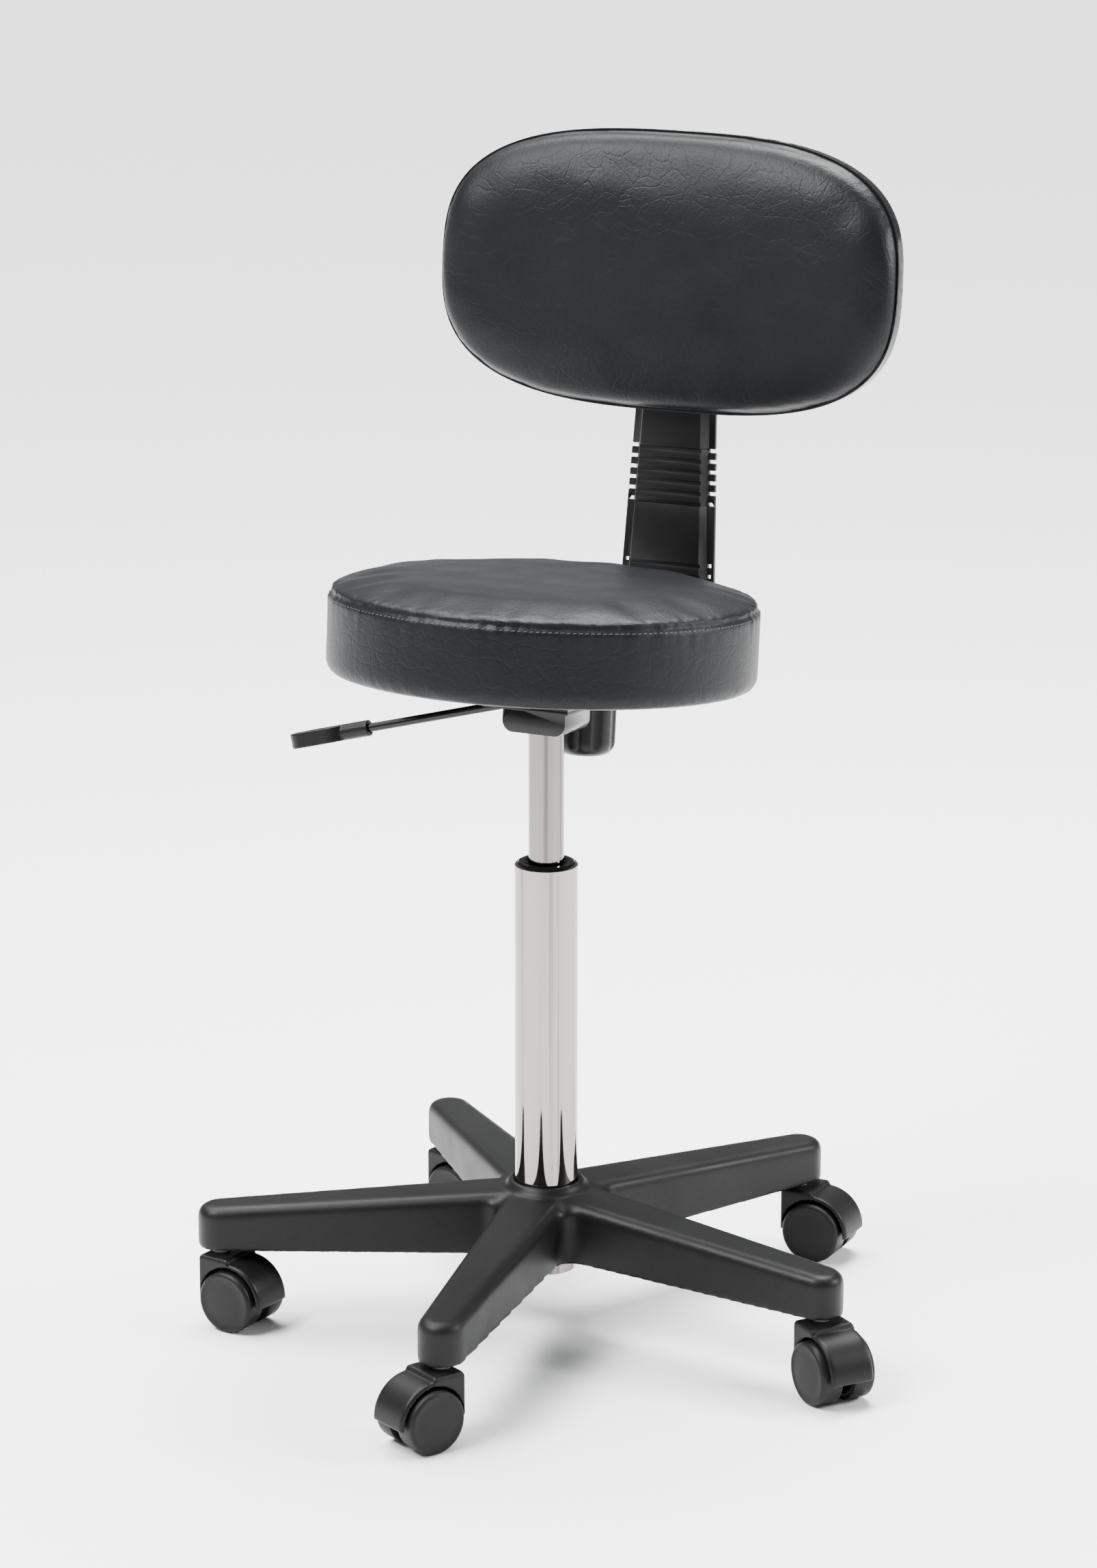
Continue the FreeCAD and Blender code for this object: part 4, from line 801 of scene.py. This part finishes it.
# %% [markdown]
# ## Edges that catch the light
# Folded, turned and moulded parts have small rounded edges, and those edges are what a light shows
# first. These pieces keep the frame's shape, and a bevel modifier rounds their corners by a
# millimetre or less.

# %% Round the corners of a copied node
CORNER_ANGLE = 38


def rounded(node, name, width, segments=2):
    """A copy of a node with its corners rounded by a bevel."""
    piece = cad_copy(node, name)
    choose(piece, "FACE", lambda face: True)
    bpy.ops.mesh.dissolve_limited(angle_limit=math.radians(0.6))
    done_editing()
    modify(
        piece,
        "BEVEL",
        width=width,
        segments=segments,
        limit_method="ANGLE",
        angle_limit=math.radians(CORNER_ANGLE),
    )
    smooth(piece, CORNER_ANGLE)
    return piece


box = rounded("mechanism_box", "pressed_box", 0.7 * MM)
dress(box, "seat", "frame_black", FRAME_BLACK, "mechanism_box")
lower = rounded("lower_cover", "lower_spine_cover", 0.6 * MM)
dress(lower, "back_support", "cover_plastic", COVER_PLASTIC, "lower_cover")
upper = rounded("upper_cover", "upper_spine_cover", 0.6 * MM)
dress(upper, "backrest", "cover_plastic", COVER_PLASTIC, "upper_cover")
trim = rounded("back_trim", "backrest_edge_trim", 1.0 * MM, 3)
dress(trim, "backrest", "trim_pvc", TRIM_PVC, "back_trim")

# %% [markdown]
# The rubber bellows joins two covers that slide apart, so it can't ride on either. It is rounded like the
# covers and left where it stands, on no body.

# %% Round the bellows and leave it where it stands
bellows = rounded("bellows", "spine_bellows", 0.6 * MM)
bellows.data.materials.append(BELLOWS_RUBBER)
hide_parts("bellows")
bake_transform(bellows)

# %% [markdown]
# The lever's grip and the two hand knobs are small mouldings with flutes and a scoop. Their edges cross
# each other, so they are melted like the base, with a voxel small enough to keep the flutes.

# %% The grip and the knobs
grip = melted("lever_grip", "moulded_lever_grip", 0.6 * MM, 6)
dress(grip, "lever", "grip_plastic", GRIP_PLASTIC, "lever_grip")
for node, body in (("depth_knob", "depth_clamp"), ("height_knob", "height_clamp")):
    knob = melted(node, f"moulded_{node}", 0.9 * MM, 4)
    dress(knob, body, "knob_plastic", KNOB_PLASTIC, node)

# %% [markdown]
# ## Room, light and camera
# The stool stands on one wide pale floor. The sky around it is even and dim, so that black surfaces
# stay black and only the lamps draw highlights on them.

# %% The room
bpy.ops.mesh.primitive_plane_add(size=200, location=(0, 0, 0))
floor = named("studio_floor")
floor_paint = Finish("studio_floor", Base_Color=(0.93, 0.93, 0.93, 1), Roughness=0.8)
floor.data.materials.append(floor_paint.material)

world = bpy.data.worlds.new("studio")
bpy.context.scene.world = world
world.use_nodes = True
backdrop = world.node_tree.nodes["Background"]
backdrop.inputs["Color"].default_value = (0.93, 0.96, 1, 1)
backdrop.inputs["Strength"].default_value = 0.3
print("the floor is", round(floor.dimensions.x), "m wide")

# %% [markdown]
# Three broad lamps stand in front, overhead and to the right, and a very soft sun lights the floor. A
# broad lamp gives a long gentle highlight on vinyl; a small one would give a hard white spot.

# %% The lights
def soft_light(name, place, target, size, watts):
    """A square area light that faces a point."""
    light = bpy.data.lights.new(name, "AREA")
    light.size, light.energy = size, watts
    lamp = bpy.data.objects.new(name, light)
    bpy.context.scene.collection.objects.link(lamp)
    lamp.location = place
    lamp.rotation_euler = (Vector(target) - Vector(place)).to_track_quat("-Z", "Y").to_euler()


soft_light("front_light", (-1.3, -1.7, 2.9), (0, 0.1, 0.8), 1.3, 260)
soft_light("top_light", (0.2, 0.9, 2.6), (0, 0.15, 0.75), 1.2, 130)
soft_light("right_light", (2.4, 0.9, 1.4), (0, 0.1, 0.6), 0.7, 90)

sun = bpy.data.lights.new("overhead", "SUN")
sun.energy, sun.angle = 8.0, math.radians(50)
overhead = bpy.data.objects.new("overhead", sun)
bpy.context.scene.collection.objects.link(overhead)
overhead.rotation_euler = (math.radians(-12), math.radians(-18), 0)
print(len(bpy.data.lights), "lights")

# %% [markdown]
# A long lens from some way off keeps the column upright and the seat's ellipse gentle.

# %% The camera
camera = bpy.data.cameras.new("camera")
camera.lens = 117.02
camera.sensor_width = 36
camera.shift_x = 0.0014
viewer = bpy.data.objects.new("camera", camera)
bpy.context.scene.collection.objects.link(viewer)
CAMERA_TURN, CAMERA_DIP = math.radians(24), math.radians(15.56)
CAMERA_REACH, CAMERA_HEIGHT = 3.8293, 1.5116
aside, ahead = CAMERA_REACH * math.sin(CAMERA_TURN), CAMERA_REACH * math.cos(CAMERA_TURN)
viewer.location = (aside, -ahead, CAMERA_HEIGHT)
viewer.rotation_euler = (math.pi / 2 - CAMERA_DIP, 0, CAMERA_TURN)
bpy.context.scene.camera = viewer
print("the camera stands", round(viewer.location.length, 2), "m from the stool's foot")
